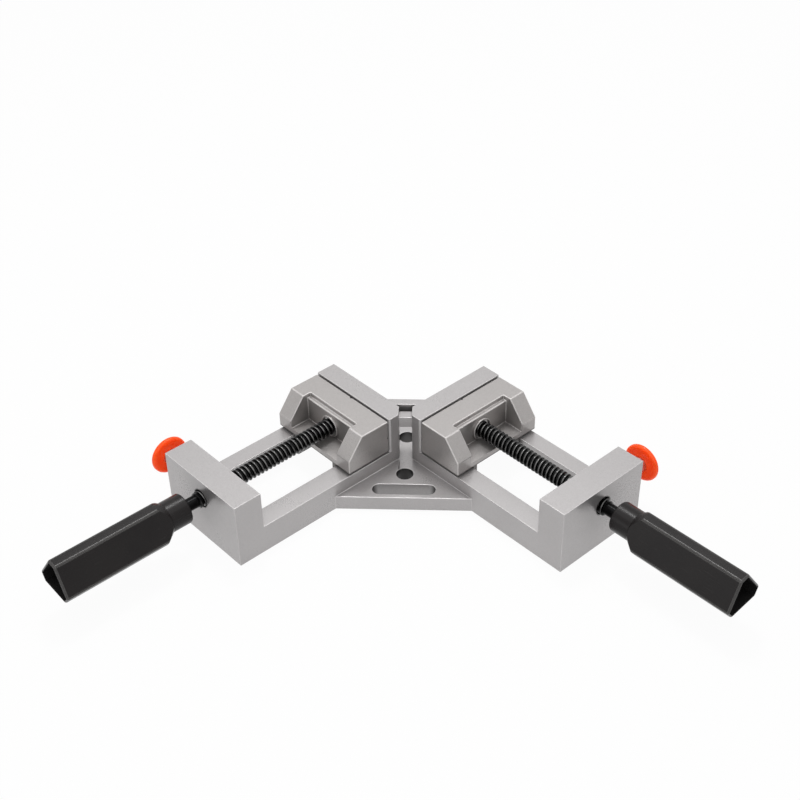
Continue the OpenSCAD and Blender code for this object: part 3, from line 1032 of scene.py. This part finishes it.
@dataclass
class Frame:
    """The cast frame: two arms, a corner plate, a tie bar and a rear web."""

    lay: Layout = Layout()
    wall_t: float = 0.0136
    nose_r: float = 0.0015
    rail_inset: float = 0.0022
    plate_t: float = 0.0097
    plate_reach: float = 0.045
    hole_r: float = 0.00525
    slot_w: float = 0.0091
    slot_len: float = 0.0385
    slot_margin: float = 0.0034
    rear_hole_set: float = 0.0167
    rear_margin: float = 0.014
    gap_w: float = 0.0082
    tie_set: float = 0.0016
    tie_len: float = 0.0064
    tie_h: float = 0.0075
    tie_drop: float = 0.0032
    web_set: float = 0.0061
    web_len: float = 0.0055
    web_h: float = 0.01
    rebate_h: float = 0.005
    rebate_w: float = 0.005
    bore_r: float = 0.0058
    plunger_r: float = 0.00754
    spring_seat: float = 0.02395
    edge: float = 0.0004
    tie_front: float = field(init=False)
    web_front: float = field(init=False)
    web_rear: float = field(init=False)
    rear_hole: float = field(init=False)
    rear_side: float = field(init=False)
    slot_at: float = field(init=False)
    slot_run: float = field(init=False)

    def __post_init__(self) -> None:
        """Works out the places along the diagonal, backwards from the corner point."""
        root = math.sqrt(2.0)
        self.tie_front = root * self.lay.near - self.gap_w / 2.0 + self.tie_set
        self.web_front = root * self.wall_t + self.web_set
        self.web_rear = self.web_front + self.web_len
        self.rear_hole = root * self.wall_t + self.rear_hole_set
        self.rear_side = root * (self.rear_hole + self.rear_margin) - self.wall_t
        plate_front = (self.lay.near - self.plate_reach) / root
        self.slot_at = plate_front + self.slot_margin + self.slot_w / 2.0
        self.slot_run = self.slot_len - self.slot_w

    def finish(self) -> CastMetal:
        """Gives the casting's finish, with painted shade in its openings and around its bores.

        Returns:
            The finish at this frame's sizes.
        """
        lay = self.lay
        # Strength of painted shade on each opening's wall.
        openings = (
            Opening(0.0, self.hole_r, 0.97),
            Opening(self.rear_hole, self.hole_r, 0.82),
            Opening(self.slot_at, self.slot_w / 2.0, 0.2, self.slot_run / 2.0),
        )
        # Painted shade around the bores on the end blocks' outer faces.
        mouth, outwards = (lay.rail_len + lay.block_t, lay.axis_y, lay.axis_z), (1.0, 0.0, 0.0)
        bore_shades = tuple(BoreShade(side.over(mouth), side.over(outwards), self.bore_r) for side in Side)
        return replace(CASTING, openings=openings, bore_shades=bore_shades)

    def flush(self, place: Vector) -> bool:
        """Tells the seams in the wall's face and the block's face, level with the rails.

        Args:
            place: The middle of an edge.

        Returns:
            Whether the edge is such a seam.
        """
        lay = self.lay
        level = abs(place.z - lay.rail_h) < NEAR
        in_face = min(abs(place.x), abs(place.x - lay.rail_len)) < NEAR
        in_window = lay.near + lay.rail_w < place.y < lay.far - lay.rail_w
        return level and in_face and (in_window or place.y > lay.far - self.rail_inset)

    def pocket(self, top: float) -> bpy.types.Object:
        """Models the space between wall and block, above the rails.

        Args:
            top: Where it ends.

        Returns:
            The space, with the round end of the wall.
        """
        lay, nose, over = self.lay, self.nose_r, self.lay.lap
        outline = [(-nose, lay.near - over), (lay.rail_len, lay.near - over)]
        outline += [(lay.rail_len, lay.far + over), (0.0, lay.far + over)]
        for step in range(5):
            turn = math.radians(22.5 * step)
            outline.append((nose * (math.cos(turn) - 1.0), lay.near + nose * (1.0 - math.sin(turn))))
        return prism("pocket", [(x, y, lay.rail_h) for x, y in outline], (0.0, 0.0, top - lay.rail_h))

    def window(self, deep: float, past: float) -> bpy.types.Object:
        """Models the window between the rails, with the keeper's rebates under them.

        Args:
            deep: Where it starts, below the base.
            past: Where it ends, above the rails.

        Returns:
            The window.
        """
        lay, wide, step = self.lay, self.rebate_w, self.rebate_h
        low, high = lay.near + lay.rail_w, lay.far - lay.rail_w
        section = [(low - wide, deep), (high + wide, deep), (high + wide, step), (high, step)]
        section += [(high, past), (low, past), (low, step), (low - wide, step)]
        return prism("window", [(0.0, y, z) for y, z in section], (lay.rail_len, 0.0, 0.0))

    def arm(self) -> bpy.types.Object:
        """Models the right arm: fixed wall, rails and end block.

        Returns:
            The arm, cut back at the gap between the walls.
        """
        lay, over = self.lay, self.lay.lap
        deep, top, past = -3.0 * over, lay.wall_h + 3.0 * over, lay.rail_h + over
        low, high = (-self.wall_t, lay.near, deep + over), (lay.rail_len + lay.block_t, lay.far, top - over)
        arm = block("arm", low, high)
        joined(arm, self.pocket(top), "DIFFERENCE")
        joined(arm, self.window(deep, past), "DIFFERENCE")
        inset = lay.far - self.rail_inset
        notch = block("notch", (0.0, inset, deep), (lay.rail_len, lay.far + over, past))
        joined(arm, notch, "DIFFERENCE")
        unseamed(arm, self.flush)
        gap = block("gap", (0.0, -self.gap_w / 2.0, deep), (self.web_rear, self.gap_w / 2.0, top))
        joined(arm, set_down(gap, DIAGONAL), "DIFFERENCE")
        return arm

    def ties(self) -> list[bpy.types.Object]:
        """Models the tie bar and the rear web, which bridge the gap.

        Returns:
            Both, along +X.
        """
        lay, over = self.lay, self.lay.lap
        tie_top, across = lay.wall_h - self.tie_drop, self.gap_w / 2.0 + over
        low = (self.tie_front, -across, tie_top - self.tie_h)
        tie = block("tie", low, (self.tie_front + self.tie_len, across, tie_top))
        front, rear = self.web_set + over, self.web_set + self.web_len + over
        corners = [(self.web_front, -front), (self.web_rear, -rear)]
        corners += [(x, -y) for x, y in reversed(corners)]
        foot = lay.wall_h - self.web_h
        return [tie, prism("web", [(x, y, foot) for x, y in corners], (0.0, 0.0, self.web_h + over))]

    def blank(self) -> bpy.types.Object:
        """Models the casting before it is drilled.

        Returns:
            The casting, cut flat at base and top.
        """
        lay, over = self.lay, self.lay.lap
        half, rear = self.wall_t / 2.0, self.rear_side + self.wall_t / 2.0
        inner, reach = lay.near + over, self.plate_reach + over
        outline = [(reach, inner), (-half, inner), (-half, rear)]
        outline += [(-y, -x) for x, y in reversed(outline)]
        casting = prism("frame_cast", [(x, y, -over) for x, y in outline], (0.0, 0.0, self.plate_t + over))
        arm = self.arm()
        twin = Side.LEFT.carry(copied(arm, "left_arm"))
        joined(casting, arm, "UNION")
        joined(casting, twin, "UNION")
        for bridge in self.ties():
            joined(casting, set_down(bridge, DIAGONAL), "UNION")
        cut_square(casting, 0.0, True)
        cut_square(casting, lay.wall_h, False)
        return casting

    def slot(self) -> bpy.types.Object:
        """Models the bench slot with its round ends.

        Returns:
            The slot, across +X.
        """
        radius, over, outline = self.slot_w / 2.0, self.lay.lap, []
        for middle, start in ((self.slot_run / 2.0, 0.0), (-self.slot_run / 2.0, 180.0)):
            for step in range(17):
                turn = math.radians(start + 180.0 * step / 16)
                x, y = self.slot_at + radius * math.cos(turn), middle + radius * math.sin(turn)
                outline.append((x, y, -over))
        return prism("slot", outline, (0.0, 0.0, self.plate_t + 2.0 * over))

    def drill(self, casting: bpy.types.Object) -> None:
        """Cuts bores, bench holes and bench slot.

        Args:
            casting: The blank casting.
        """
        lay, over = self.lay, self.lay.lap
        past = lay.rail_len + lay.block_t + over
        for side in Side:
            bore = turned("bore", [(self.bore_r, lay.rail_len - over), (self.bore_r, past)])
            joined(casting, side.carry(set_down(bore, lay.on_spindle())), "DIFFERENCE")
            ends = [(self.plunger_r, self.spring_seat), (self.plunger_r, lay.far + over)]
            joined(casting, side.carry(set_down(turned("cross_bore", ends), lay.on_release())), "DIFFERENCE")
        for at in (0.0, self.rear_hole):
            hole = turned("hole", [(self.hole_r, -over), (self.hole_r, self.plate_t + over)])
            joined(casting, set_down(hole, DIAGONAL @ Matrix.Translation((at, 0.0, 0.0))), "DIFFERENCE")
        joined(casting, set_down(self.slot(), DIAGONAL), "DIFFERENCE")

    def off_bores(self, place: Vector) -> bool:
        """Tells whether a place is clear of the bores in the end blocks.

        Args:
            place: The middle of an edge.

        Returns:
            Whether the edge may be rounded.
        """
        lay, middle = self.lay, self.lay.rail_len + self.lay.block_t / 2.0
        for x, y, z in (side.over(tuple(place)) for side in Side):
            if x > lay.rail_len - lay.lap:
                height = z - lay.axis_z
                in_bore = math.hypot(y - lay.axis_y, height) < self.bore_r + NEAR
                if in_bore or math.hypot(x - middle, height) < self.plunger_r + NEAR:
                    return False
        return True

    def build(self) -> None:
        """Models and dresses the casting."""
        casting, finish = self.blank(), self.finish()
        self.drill(casting)
        rounded(casting, self.edge, test=self.off_bores)
        smoothed(casting, 32.0)
        handed_in(casting, finish.material(), "frame", "frame_casting")


@dataclass
class Jaw:
    """A moving jaw with its keeper, screws, pins and washer."""

    side: Side
    lay: Layout = Layout()
    front: float = 0.0007
    wall: float = 0.0184
    shoulder: float = 0.0217
    back: float = 0.0327
    foot: float = 0.0195
    foot_h: float = 0.0093
    top: float = 0.043
    inset: float = 0.0002
    cheek_w: float = 0.012
    floor: float = 0.004
    step_d: float = 0.0025
    step_h: float = 0.003
    groove: float = 0.0013
    edge: float = 0.0006
    # Height of the jaw's painted contact shadow and, below, depth of painted shade on its clamp face.
    contact_shade_h: float = 0.0012
    clamp_face_shade_d: float = 0.0007
    keel_from: float = 0.0037
    keel_to: float = 0.0157
    keel_foot: float = 0.0048
    keel_w: float = 0.0405
    rib_to: float = 0.0324
    rib_t: float = 0.0032
    boss_r: float = 0.00735
    boss_to: float = 0.0198
    cup_r: float = 0.00635
    cup_from: float = 0.0176
    bore_r: float = 0.00405
    bore_from: float = 0.0031
    pin_r: float = 0.0013
    pin_at: tuple[float, float] = (0.0076, 0.00415)
    pin_to: float = 0.0374
    screw_r: float = 0.00255
    screw_at: tuple[float, float] = (0.0097, 0.0135)
    screw_to: float = 0.0148
    lip: float = 0.0003
    keel_edge: float = 0.0003

    def finish(self) -> CastMetal:
        """Gives the jaw's finish, with a painted contact shadow along its underside and painted shade on its
        clamp face.
        """
        return replace(JAW_CASTING, contact_shaded_below=self.foot + self.contact_shade_h, clamp_face_shaded_to=self.front + self.clamp_face_shade_d)

    def blank(self) -> bpy.types.Object:
        """Models the jaw's body with its cheeks, recess and step.

        Returns:
            The body of the right arm's jaw.
        """
        near, width = self.lay.near + self.inset, self.lay.width - 2.0 * self.inset
        side = [
            (self.front, self.foot), (self.back, self.foot), (self.back, self.foot + self.foot_h),
            (self.shoulder, self.top), (self.front, self.top),
        ]
        body = prism(f"{self.side.value}_jaw_cast", [(x, near, z) for x, z in side], (0.0, width, 0.0))
        low, high = near + self.cheek_w, near + width - self.cheek_w
        past = (self.back + self.lay.lap, high, self.top + self.lay.lap)
        recess = (self.wall, low, self.foot + self.floor)
        step = (self.wall - self.step_d, low, self.top - self.step_h)
        for corner in (recess, step):
            joined(body, block("recess", corner, past), "DIFFERENCE")
        return body

    def keel(self) -> bpy.types.Object:
        """Models the keel with its two guide ribs.

        Returns:
            The keel, which laps into the body.
        """
        side = self.keel_w / 2.0
        inner = side - self.rib_t
        outline = [(self.keel_from, -side), (self.rib_to, -side)]
        outline += [(self.rib_to, -inner), (self.keel_to, -inner)]
        outline += [(x, -y) for x, y in reversed(outline)]
        height = self.foot + self.lay.lap - self.keel_foot
        points = [(x, self.lay.axis_y + y, self.keel_foot) for x, y in outline]
        keel = prism("keel", points, (0.0, 0.0, height))
        rounded(keel, self.keel_edge, 2)
        return keel

    def drilled(self) -> tuple[tuple[float, tuple[float, float], float], ...]:
        """Gives radius, place and top of the holes for pins and screws."""
        return (self.pin_r, self.pin_at, self.pin_to), (self.screw_r, self.screw_at, self.screw_to)

    def plain(self, place: Vector) -> bool:
        """Tells whether a place is clear of the keel, the boss, the grooves and the holes.

        Args:
            place: The middle of an edge.

        Returns:
            Whether the edge may be rounded.
        """
        x, y, z = place.x, place.y - self.lay.axis_y, place.z - self.lay.axis_z
        under = place.z < self.foot + NEAR and abs(y) < self.keel_w / 2.0 + NEAR
        if under and x < self.back - NEAR:
            return x < self.keel_from - NEAR
        if math.hypot(y, z) < self.boss_r + NEAR:
            return False
        if x < self.front + self.groove + NEAR and min(abs(y), abs(z)) < self.groove + NEAR:
            return False
        holes = self.drilled()
        return all(math.hypot(x - at, abs(y) - off) > radius + NEAR for radius, (at, off), _ in holes)

    def seat(self, body: bpy.types.Object) -> None:
        """Adds the boss with its round lip and cuts the cup and the bore for the spindle's nose.

        Args:
            body: The jaw's body.
        """
        rim, over = self.lip, self.lay.lap
        boss = [(self.boss_r, self.wall - over)]
        for step in range(4):
            turn = math.radians(30.0 * step)
            inset, drop = rim * (1.0 - math.cos(turn)), rim * (1.0 - math.sin(turn))
            boss.append((self.boss_r - inset, self.boss_to - drop))
        cup = [(self.cup_r, self.cup_from), (self.cup_r, self.boss_to - rim / 2.0)]
        cup += [(self.cup_r + rim, self.boss_to + rim / 2.0), (self.cup_r + rim, self.boss_to + over)]
        bore = [(self.bore_r, self.bore_from), (self.bore_r, self.boss_to)]
        for profile, operation in ((boss, "UNION"), (cup, "DIFFERENCE"), (bore, "DIFFERENCE")):
            joined(body, set_down(turned("seat", profile), self.lay.on_spindle()), operation)

    def drill(self, body: bpy.types.Object) -> None:
        """Cuts the crossed grooves and the holes for pins and screws.

        Args:
            body: The jaw's body.
        """
        lay, over, deep = self.lay, self.lay.lap, self.groove
        mouth, wide = self.front - over, deep + over
        notch = [(mouth, -wide), (self.front + deep, 0.0), (mouth, wide)]
        upright = [(x, lay.axis_y + off, self.foot - over) for x, off in notch]
        joined(body, prism("groove", upright, (0.0, 0.0, lay.wall_h)), "DIFFERENCE")
        level = [(x, lay.near - over, lay.axis_z + off) for x, off in notch]
        joined(body, prism("groove", level, (0.0, lay.width + 2.0 * over, 0.0)), "DIFFERENCE")
        for radius, (x, off), top in self.drilled():
            for y in (lay.axis_y - off, lay.axis_y + off):
                hole = turned("hole", [(radius, self.keel_foot - over), (radius, top)], 32)
                joined(body, set_down(hole, Matrix.Translation((x, y, 0.0))), "DIFFERENCE")

    def build(self, cast: bpy.types.Material, plated: bpy.types.Material, dark: bpy.types.Material) -> None:
        """Models the jaw and dresses its fittings.

        Args:
            cast: The jaw's own finish.
            plated: The finish of keeper, pins and washer.
            dark: The finish of the screws.
        """
        body = self.blank()
        joined(body, self.keel(), "UNION")
        self.seat(body)
        self.drill(body)
        rounded(body, self.edge, test=self.plain)
        self.side.carry(body)
        smoothed(body, 32.0)
        name = self.side.value
        handed_in(body, cast, f"{name}_jaw", f"{name}_moving_jaw")
        for piece in ("jaw_keeper_plate", "thrust_washer", "spindle_pins"):
            dress(solid(f"{name}_{piece}"), plated)
        dress(solid(f"{name}_keeper_screws"), dark)
        LOG.info("%s jaw's fittings dressed", name)


@dataclass
class Spindle:
    """A threaded spindle, blackened, that turns with its handle."""

    side: Side
    lay: Layout = Layout()
    thread_r: float = 0.0053
    root_r: float = 0.0041
    pitch: float = 0.003
    crest: float = 0.00066
    flank: float = 0.0006
    ease: float = 0.0002
    thread_from: float = 0.01865
    thread_to: float = 0.1205
    chamfer: float = 0.001
    journal_r: float = 0.004
    groove_r: float = 0.0028
    groove_from: float = 0.00625
    groove_to: float = 0.00895
    nose: float = 0.0036
    nose_edge: float = 0.0004
    shank_r: float = 0.0039
    shank_to: float = 0.133
    tang_w: float = 0.0054
    tang_to: float = 0.151
    edge: float = 0.0003
    slot: str = "black_steel"
    name: str = field(init=False)

    def __post_init__(self) -> None:
        """Names the piece for its arm."""
        self.name = f"{self.side.value}_threaded_spindle"

    def stand(self) -> Matrix:
        """Gives the place on this arm's spindle axis, not mirrored, so that the thread keeps its hand.

        Returns:
            The place that turns +Z outwards.
        """
        if self.side is Side.RIGHT:
            return self.lay.on_spindle()
        turn = Matrix.Rotation(math.radians(90.0), 4, "X")
        return Matrix.Translation((-self.lay.axis_y, 0.0, self.lay.axis_z)) @ turn

    def finish(self) -> BlackedThread:
        """Gives the blackened finish, centred on this arm's spindle axis."""
        point = self.side.over((0.0, self.lay.axis_y, self.lay.axis_z))
        along = self.side.over((1.0, 0.0, 0.0))
        return BlackedThread(f"blacked_{self.name}", self.slot, point, along, self.thread_r, self.root_r)

    def profile(self) -> list[tuple[float, float]]:
        """Draws one turn of the thread.

        Returns:
            Radius and height of its points, upwards, with eased corners.
        """
        rounding, ease = 0.3 * self.flank, self.ease
        fall = self.pitch - self.flank
        rise = fall - self.crest - self.flank
        return [
            (self.root_r, 0.0),
            (self.root_r, rise - rounding),
            (self.root_r + ease, rise),
            (self.thread_r - ease, rise + self.flank - rounding),
            (self.thread_r, rise + self.flank + rounding),
            (self.thread_r, fall - rounding),
            (self.thread_r - ease, fall + rounding),
            (self.root_r + ease, self.pitch - rounding),
            (self.root_r, self.pitch),
        ]

    def thread(self) -> bpy.types.Object:
        """Models the threaded rod.

        Returns:
            The rod along +Z, with chamfered ends.
        """
        start = self.thread_from - 2.0 * self.pitch
        rod = stroke(self.name, [(radius, 0.0, start + height) for radius, height in self.profile()])
        turns = math.ceil((self.thread_to - self.thread_from) / self.pitch) + 4
        apply_modifier(
            rod, "SCREW", axis="Z", angle=math.tau, screw_offset=self.pitch, iterations=turns,
            steps=40, render_steps=40, use_merge_vertices=True, merge_threshold=FLUSH,
        )
        cut_square(rod, self.thread_from, True)
        cut_square(rod, self.thread_to, False)
        take_up(rod)
        bpy.ops.object.mode_set(mode="EDIT")
        bpy.ops.mesh.select_all(action="SELECT")
        bpy.ops.mesh.remove_doubles(threshold=2.0 * FLUSH)
        bpy.ops.mesh.normals_make_consistent(inside=False)
        bpy.ops.object.mode_set(mode="OBJECT")
        over = 2.0 * self.ease
        low_r, high_r = self.thread_r - self.chamfer, self.thread_r + over
        envelope = turned("envelope", [
            (low_r, self.thread_from - NEAR), (high_r, self.thread_from + self.chamfer + over),
            (high_r, self.thread_to - self.chamfer - over), (low_r, self.thread_to + NEAR),
        ])
        joined(rod, envelope, "INTERSECT")
        return rod

    def build(self) -> None:
        """Models, places and dresses the spindle."""
        rod, lap, half = self.thread(), 2.0 * self.lay.lap, self.tang_w / 2.0
        nose = turned("nose", [
            (self.journal_r - self.nose_edge, self.nose), (self.journal_r, self.nose + self.nose_edge),
            (self.journal_r, self.groove_from), (self.groove_r, self.groove_from),
            (self.groove_r, self.groove_to), (self.journal_r, self.groove_to),
            (self.journal_r, self.thread_from + lap),
        ])
        shank = turned("shank", [
            (self.shank_r, self.thread_to - lap), (self.shank_r, self.shank_to - self.edge),
            (self.shank_r - self.edge, self.shank_to),
        ])
        tang = block("tang", (-half, -half, self.shank_to - lap), (half, half, self.tang_to))
        apply_modifier(tang, "BEVEL", width=self.edge, segments=2)
        for end in (nose, shank, tang):
            joined(rod, end, "UNION")
        set_down(rod, self.stand())
        smoothed(rod, 38.0)
        body, node = f"{self.side.value}_screw", f"{self.side.value}_spindle"
        handed_in(rod, self.finish().material(), body, node)


@dataclass
class Handle:
    """A hollow three-sided handle and its axial screw."""

    side: Side
    lay: Layout = Layout()
    front: float = 0.129
    end: float = 0.215
    ferrule_r: float = 0.0095
    ferrule_len: float = 0.013
    shoulder_len: float = 0.0115
    flat_r: float = 0.0098
    edge_r: float = 0.0138
    turn_deg: float = 7.0
    wall: float = 0.002
    hollow_from: float = 0.154
    seat_r: float = 0.00395
    seat_to: float = 0.133
    tang_slot: float = 0.0055
    tang_to: float = 0.151
    screw_r: float = 0.00185
    draft: float = 1.075
    rim: float = 0.0004
    edge: float = 0.0012
    hollow_edge: float = 0.0006
    lip: tuple[tuple[float, float], ...] = ((0.0009, 0.0), (0.0003, 0.0002), (0.0, 0.0008))
    lip_lap: float = 0.0004

    def outline(self, inset: float, height: float) -> list[Place]:
        """Draws the trimmed triangle of the grip.

        Args:
            inset: How far its sides are moved inwards.
            height: Its place along the handle.

        Returns:
            Its six corners.
        """
        broad, narrow = self.flat_r - inset, self.edge_r - inset
        corners = []
        for number in range(6):
            first, second = (broad, narrow) if number % 2 == 0 else (narrow, broad)
            here = math.radians(60.0 * number + self.turn_deg)
            there = here + math.radians(60.0)
            x = (first * math.sin(there) - second * math.sin(here)) / math.sin(math.radians(60.0))
            y = (second * math.cos(here) - first * math.cos(there)) / math.sin(math.radians(60.0))
            corners.append((x, y, height))
        return corners

    def grip(self) -> bpy.types.Object:
        """Models the grip that rolls into its ferrule.

        Returns:
            The solid grip along +Z.
        """
        neck, over = self.front + self.ferrule_len, self.lay.lap
        along = (0.0, 0.0, self.end - self.front)
        grip = prism(f"{self.side.value}_hollow_handle", self.outline(0.0, self.front), along)
        rounded(grip, self.edge, 4)
        wide_r = self.ferrule_r + self.edge_r
        envelope = turned("envelope", [
            (self.ferrule_r - over, neck - over), (self.ferrule_r, neck),
            (wide_r, neck + self.shoulder_len * wide_r / self.edge_r), (wide_r, self.end + over),
        ], 128)
        joined(grip, envelope, "INTERSECT")
        rings = [(self.ferrule_r - inset, self.front + height) for inset, height in self.lip]
        rings += [(self.ferrule_r, neck + self.lip_lap), (self.ferrule_r - over, neck + self.lip_lap + over)]
        joined(grip, turned("ferrule", rings, 128), "UNION")
        return grip

    def hollow_out(self, grip: bpy.types.Object) -> None:
        """Cuts the hollow, the shank's seat, the tang's slot and the screw's hole.

        Args:
            grip: The solid grip.
        """
        over, half = self.lay.lap, self.tang_slot / 2.0
        along = (0.0, 0.0, self.end + over - self.hollow_from)
        hollow = prism("hollow", self.outline(self.wall, self.hollow_from), along, self.draft)
        rounded(hollow, self.hollow_edge, 2)
        joined(grip, hollow, "DIFFERENCE")
        rounded(grip, self.rim, 3, lambda place: abs(place.z - self.end) < FLUSH)
        seat = turned("seat", [(self.seat_r, self.front - over), (self.seat_r, self.seat_to)])
        slot = block("tang_slot", (-half, -half, self.seat_to - over), (half, half, self.tang_to))
        ends = (self.tang_to - over, self.hollow_from + over)
        hole = turned("hole", [(self.screw_r, height) for height in ends], 32)
        for cut in (seat, slot, hole):
            joined(grip, cut, "DIFFERENCE")

    def build(self, plastic: bpy.types.Material, plated: bpy.types.Material) -> None:
        """Models the handle and dresses its screw.

        Args:
            plastic: The grip's finish.
            plated: The screw's finish.
        """
        grip = self.grip()
        self.hollow_out(grip)
        self.side.carry(set_down(grip, self.lay.on_spindle()))
        smoothed(grip, 24.0)
        name = self.side.value
        handed_in(grip, plastic, f"{name}_screw", f"{name}_handle_grip")
        dress(solid(f"{name}_handle_screw"), plated)
        LOG.info("%s handle screw dressed", name)


@dataclass
class Release:
    """A quick release: half nut, push button and spring."""

    side: Side
    lay: Layout = Layout()
    foot: float = 0.091
    foot_r: float = 0.009
    rim_r: float = 0.012
    rim_from: float = 0.0929
    rim_to: float = 0.0936
    dome_top: float = 0.0982
    dome_r: float = 0.01856
    dip: float = 0.000002
    rim_edge: float = 0.0003
    stud_r: float = 0.00305
    stud_to: float = 0.09545

    def button(self) -> bpy.types.Object:
        """Models the button, rolled over at its rim.

        Returns:
            The button along +Z.
        """
        profile = [(self.foot_r, self.foot)]
        for step in range(1, 8):
            turn = math.radians(90.0 * step / 8)
            profile.append((
                self.foot_r + (self.rim_r - self.foot_r) * math.sin(turn),
                self.rim_from - (self.rim_from - self.foot) * math.cos(turn),
            ))
        profile += [(self.rim_r, self.rim_from), (self.rim_r, self.rim_to)]
        profile.append((self.rim_r - self.rim_edge / 2.0, self.rim_to + self.rim_edge))
        for step in range(11, 0, -1):
            radius = self.rim_r * step / 11.6
            profile.append((radius, self.dome_top - self.dome_r + math.sqrt(self.dome_r**2 - radius**2)))
        profile.append((self.rim_edge, self.dome_top - self.dip))
        button = turned(f"{self.side.value}_push_button", profile, 96)
        bore = turned("bore", [(self.stud_r, self.foot - self.lay.lap), (self.stud_r, self.stud_to)], 32)
        joined(button, bore, "DIFFERENCE")
        return button

    def build(self, orange: bpy.types.Material, plated: bpy.types.Material) -> None:
        """Models the button and dresses the half nut and the spring.

        Args:
            orange: The button's finish.
            plated: The finish of the half nut and the spring.
        """
        button = self.button()
        self.side.carry(set_down(button, self.lay.on_release()))
        smoothed(button, 40.0)
        name = self.side.value
        handed_in(button, orange, f"{name}_release", f"{name}_release_button")
        for piece in ("half_nut", "release_spring"):
            dress(solid(f"{name}_{piece}"), plated)
        LOG.info("%s quick release dressed", name)


@dataclass(frozen=True)
class Lamp:
    """A square soft lamp."""

    name: str
    at: Place
    watts: float
    size: float
    aim: Place = (0.0, 0.0, 0.02)

    def hang(self) -> None:
        """Hangs the lamp so that it faces its aim."""
        data = bpy.data.lights.new(self.name, "AREA")
        data.energy, data.size = self.watts, self.size
        lamp = bpy.data.objects.new(self.name, data)
        turn = (Vector(self.at) - Vector(self.aim)).to_track_quat("Z", "Y").to_matrix().to_4x4()
        lamp.matrix_world = Matrix.Translation(self.at) @ turn
        bpy.context.scene.collection.objects.link(lamp)


@dataclass
class Studio:
    """A white floor, soft lamps, a pale world and the camera at the photo's angle."""

    camera_at: Place = (0.4724, -0.4227, 0.5504)
    camera_looks: Place = (-0.5942, 0.5283, -0.6066)
    roll_deg: float = -1.21
    focal_px: float = 1353.26
    picture_px: float = 800.0
    sensor: float = 36.0
    floor_size: float = 8.0
    floor_drop: float = 0.0004
    floor_grey: float = 0.84
    floor_white: float = 0.955
    world_light: float = 0.25
    lamps: tuple[Lamp, ...] = (
        Lamp("overhead", (0.0, 0.0, 1.6), 15.0, 2.4),
        Lamp("front", (0.75, -0.7, 0.55), 2.2, 0.8),
        Lamp("streak", (-0.32, 0.24, 1.31), 6.5, 0.28),
        Lamp("side", (-0.29, -1.06, 0.14), 1.0, 0.6, (0.1, 0.03, 0.03)),
    )

    def camera(self) -> None:
        """Sets up the camera."""
        data = bpy.data.cameras.new("camera")
        data.sensor_fit = "HORIZONTAL"
        data.sensor_width = self.sensor
        data.lens = self.focal_px / self.picture_px * self.sensor
        data.clip_start, data.clip_end = 0.01, 50.0
        camera = bpy.data.objects.new("camera", data)
        bpy.context.scene.collection.objects.link(camera)
        ahead = Vector(self.camera_looks).normalized()
        level = ahead.cross(Vector((0.0, 0.0, 1.0))).normalized()
        above = level.cross(ahead)
        roll = math.radians(self.roll_deg)
        right = level * math.cos(roll) + above * math.sin(roll)
        up = above * math.cos(roll) - level * math.sin(roll)
        turn = Matrix((right, up, -ahead)).transposed().to_4x4()
        camera.matrix_world = Matrix.Translation(self.camera_at) @ turn
        bpy.context.scene.camera = camera

    def floor(self) -> None:
        """Lays the pale floor, white to the eye apart from a faint shadow."""
        deselect()
        bpy.ops.mesh.primitive_plane_add(size=self.floor_size, location=(0.0, 0.0, -self.floor_drop))
        floor = bpy.context.object
        floor.name = "floor"
        material = bpy.data.materials.new("pale_floor")
        shader = Shader(material)
        grey = (self.floor_grey, self.floor_grey, self.floor_grey, 1.0)
        matt = shader.node("ShaderNodeBsdfDiffuse", {}, {"Color": grey})
        white = shader.node("ShaderNodeEmission", {}, {"Color": WHITE, "Strength": 1.0})
        share = shader.seen() * self.floor_white
        shader.close(shader.node("ShaderNodeMixShader", {}, {0: share, 1: matt, 2: white}))
        dress(floor, material)

    def world(self) -> None:
        """Fills the room with pale light and shows white behind the object."""
        world = bpy.data.worlds.new("studio")
        bpy.context.scene.world = world
        shader = Shader(world)
        light = shader.node("ShaderNodeBackground", {}, {"Color": WHITE, "Strength": self.world_light})
        white = shader.node("ShaderNodeBackground", {}, {"Color": WHITE, "Strength": 1.0})
        mix = shader.node("ShaderNodeMixShader", {}, {0: shader.seen(), 1: light, 2: white})
        shader.close(mix, "ShaderNodeOutputWorld")

    def build(self) -> None:
        """Sets up floor, light and camera."""
        self.camera()
        self.floor()
        self.world()
        for lamp in self.lamps:
            lamp.hang()
        bpy.context.scene.view_settings.view_transform = "Standard"
        LOG.info("studio set up")


def main() -> None:
    """Builds the clamp's looks and its studio."""
    logging.basicConfig(level=logging.INFO, format="%(name)s: %(message)s")
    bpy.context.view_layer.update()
    cast = Jaw(Side.RIGHT).finish().material()
    plated, dark = PLATED.material(), SCREW_STEEL.material()
    plastic, orange = HANDLE.material(), BUTTON.material()
    Frame().build()
    for side in Side:
        Jaw(side).build(cast, plated, dark)
        Spindle(side).build()
        Handle(side).build(plastic, plated)
        Release(side).build(orange, plated)
    Studio().build()


if __name__ == "__main__":
    main()
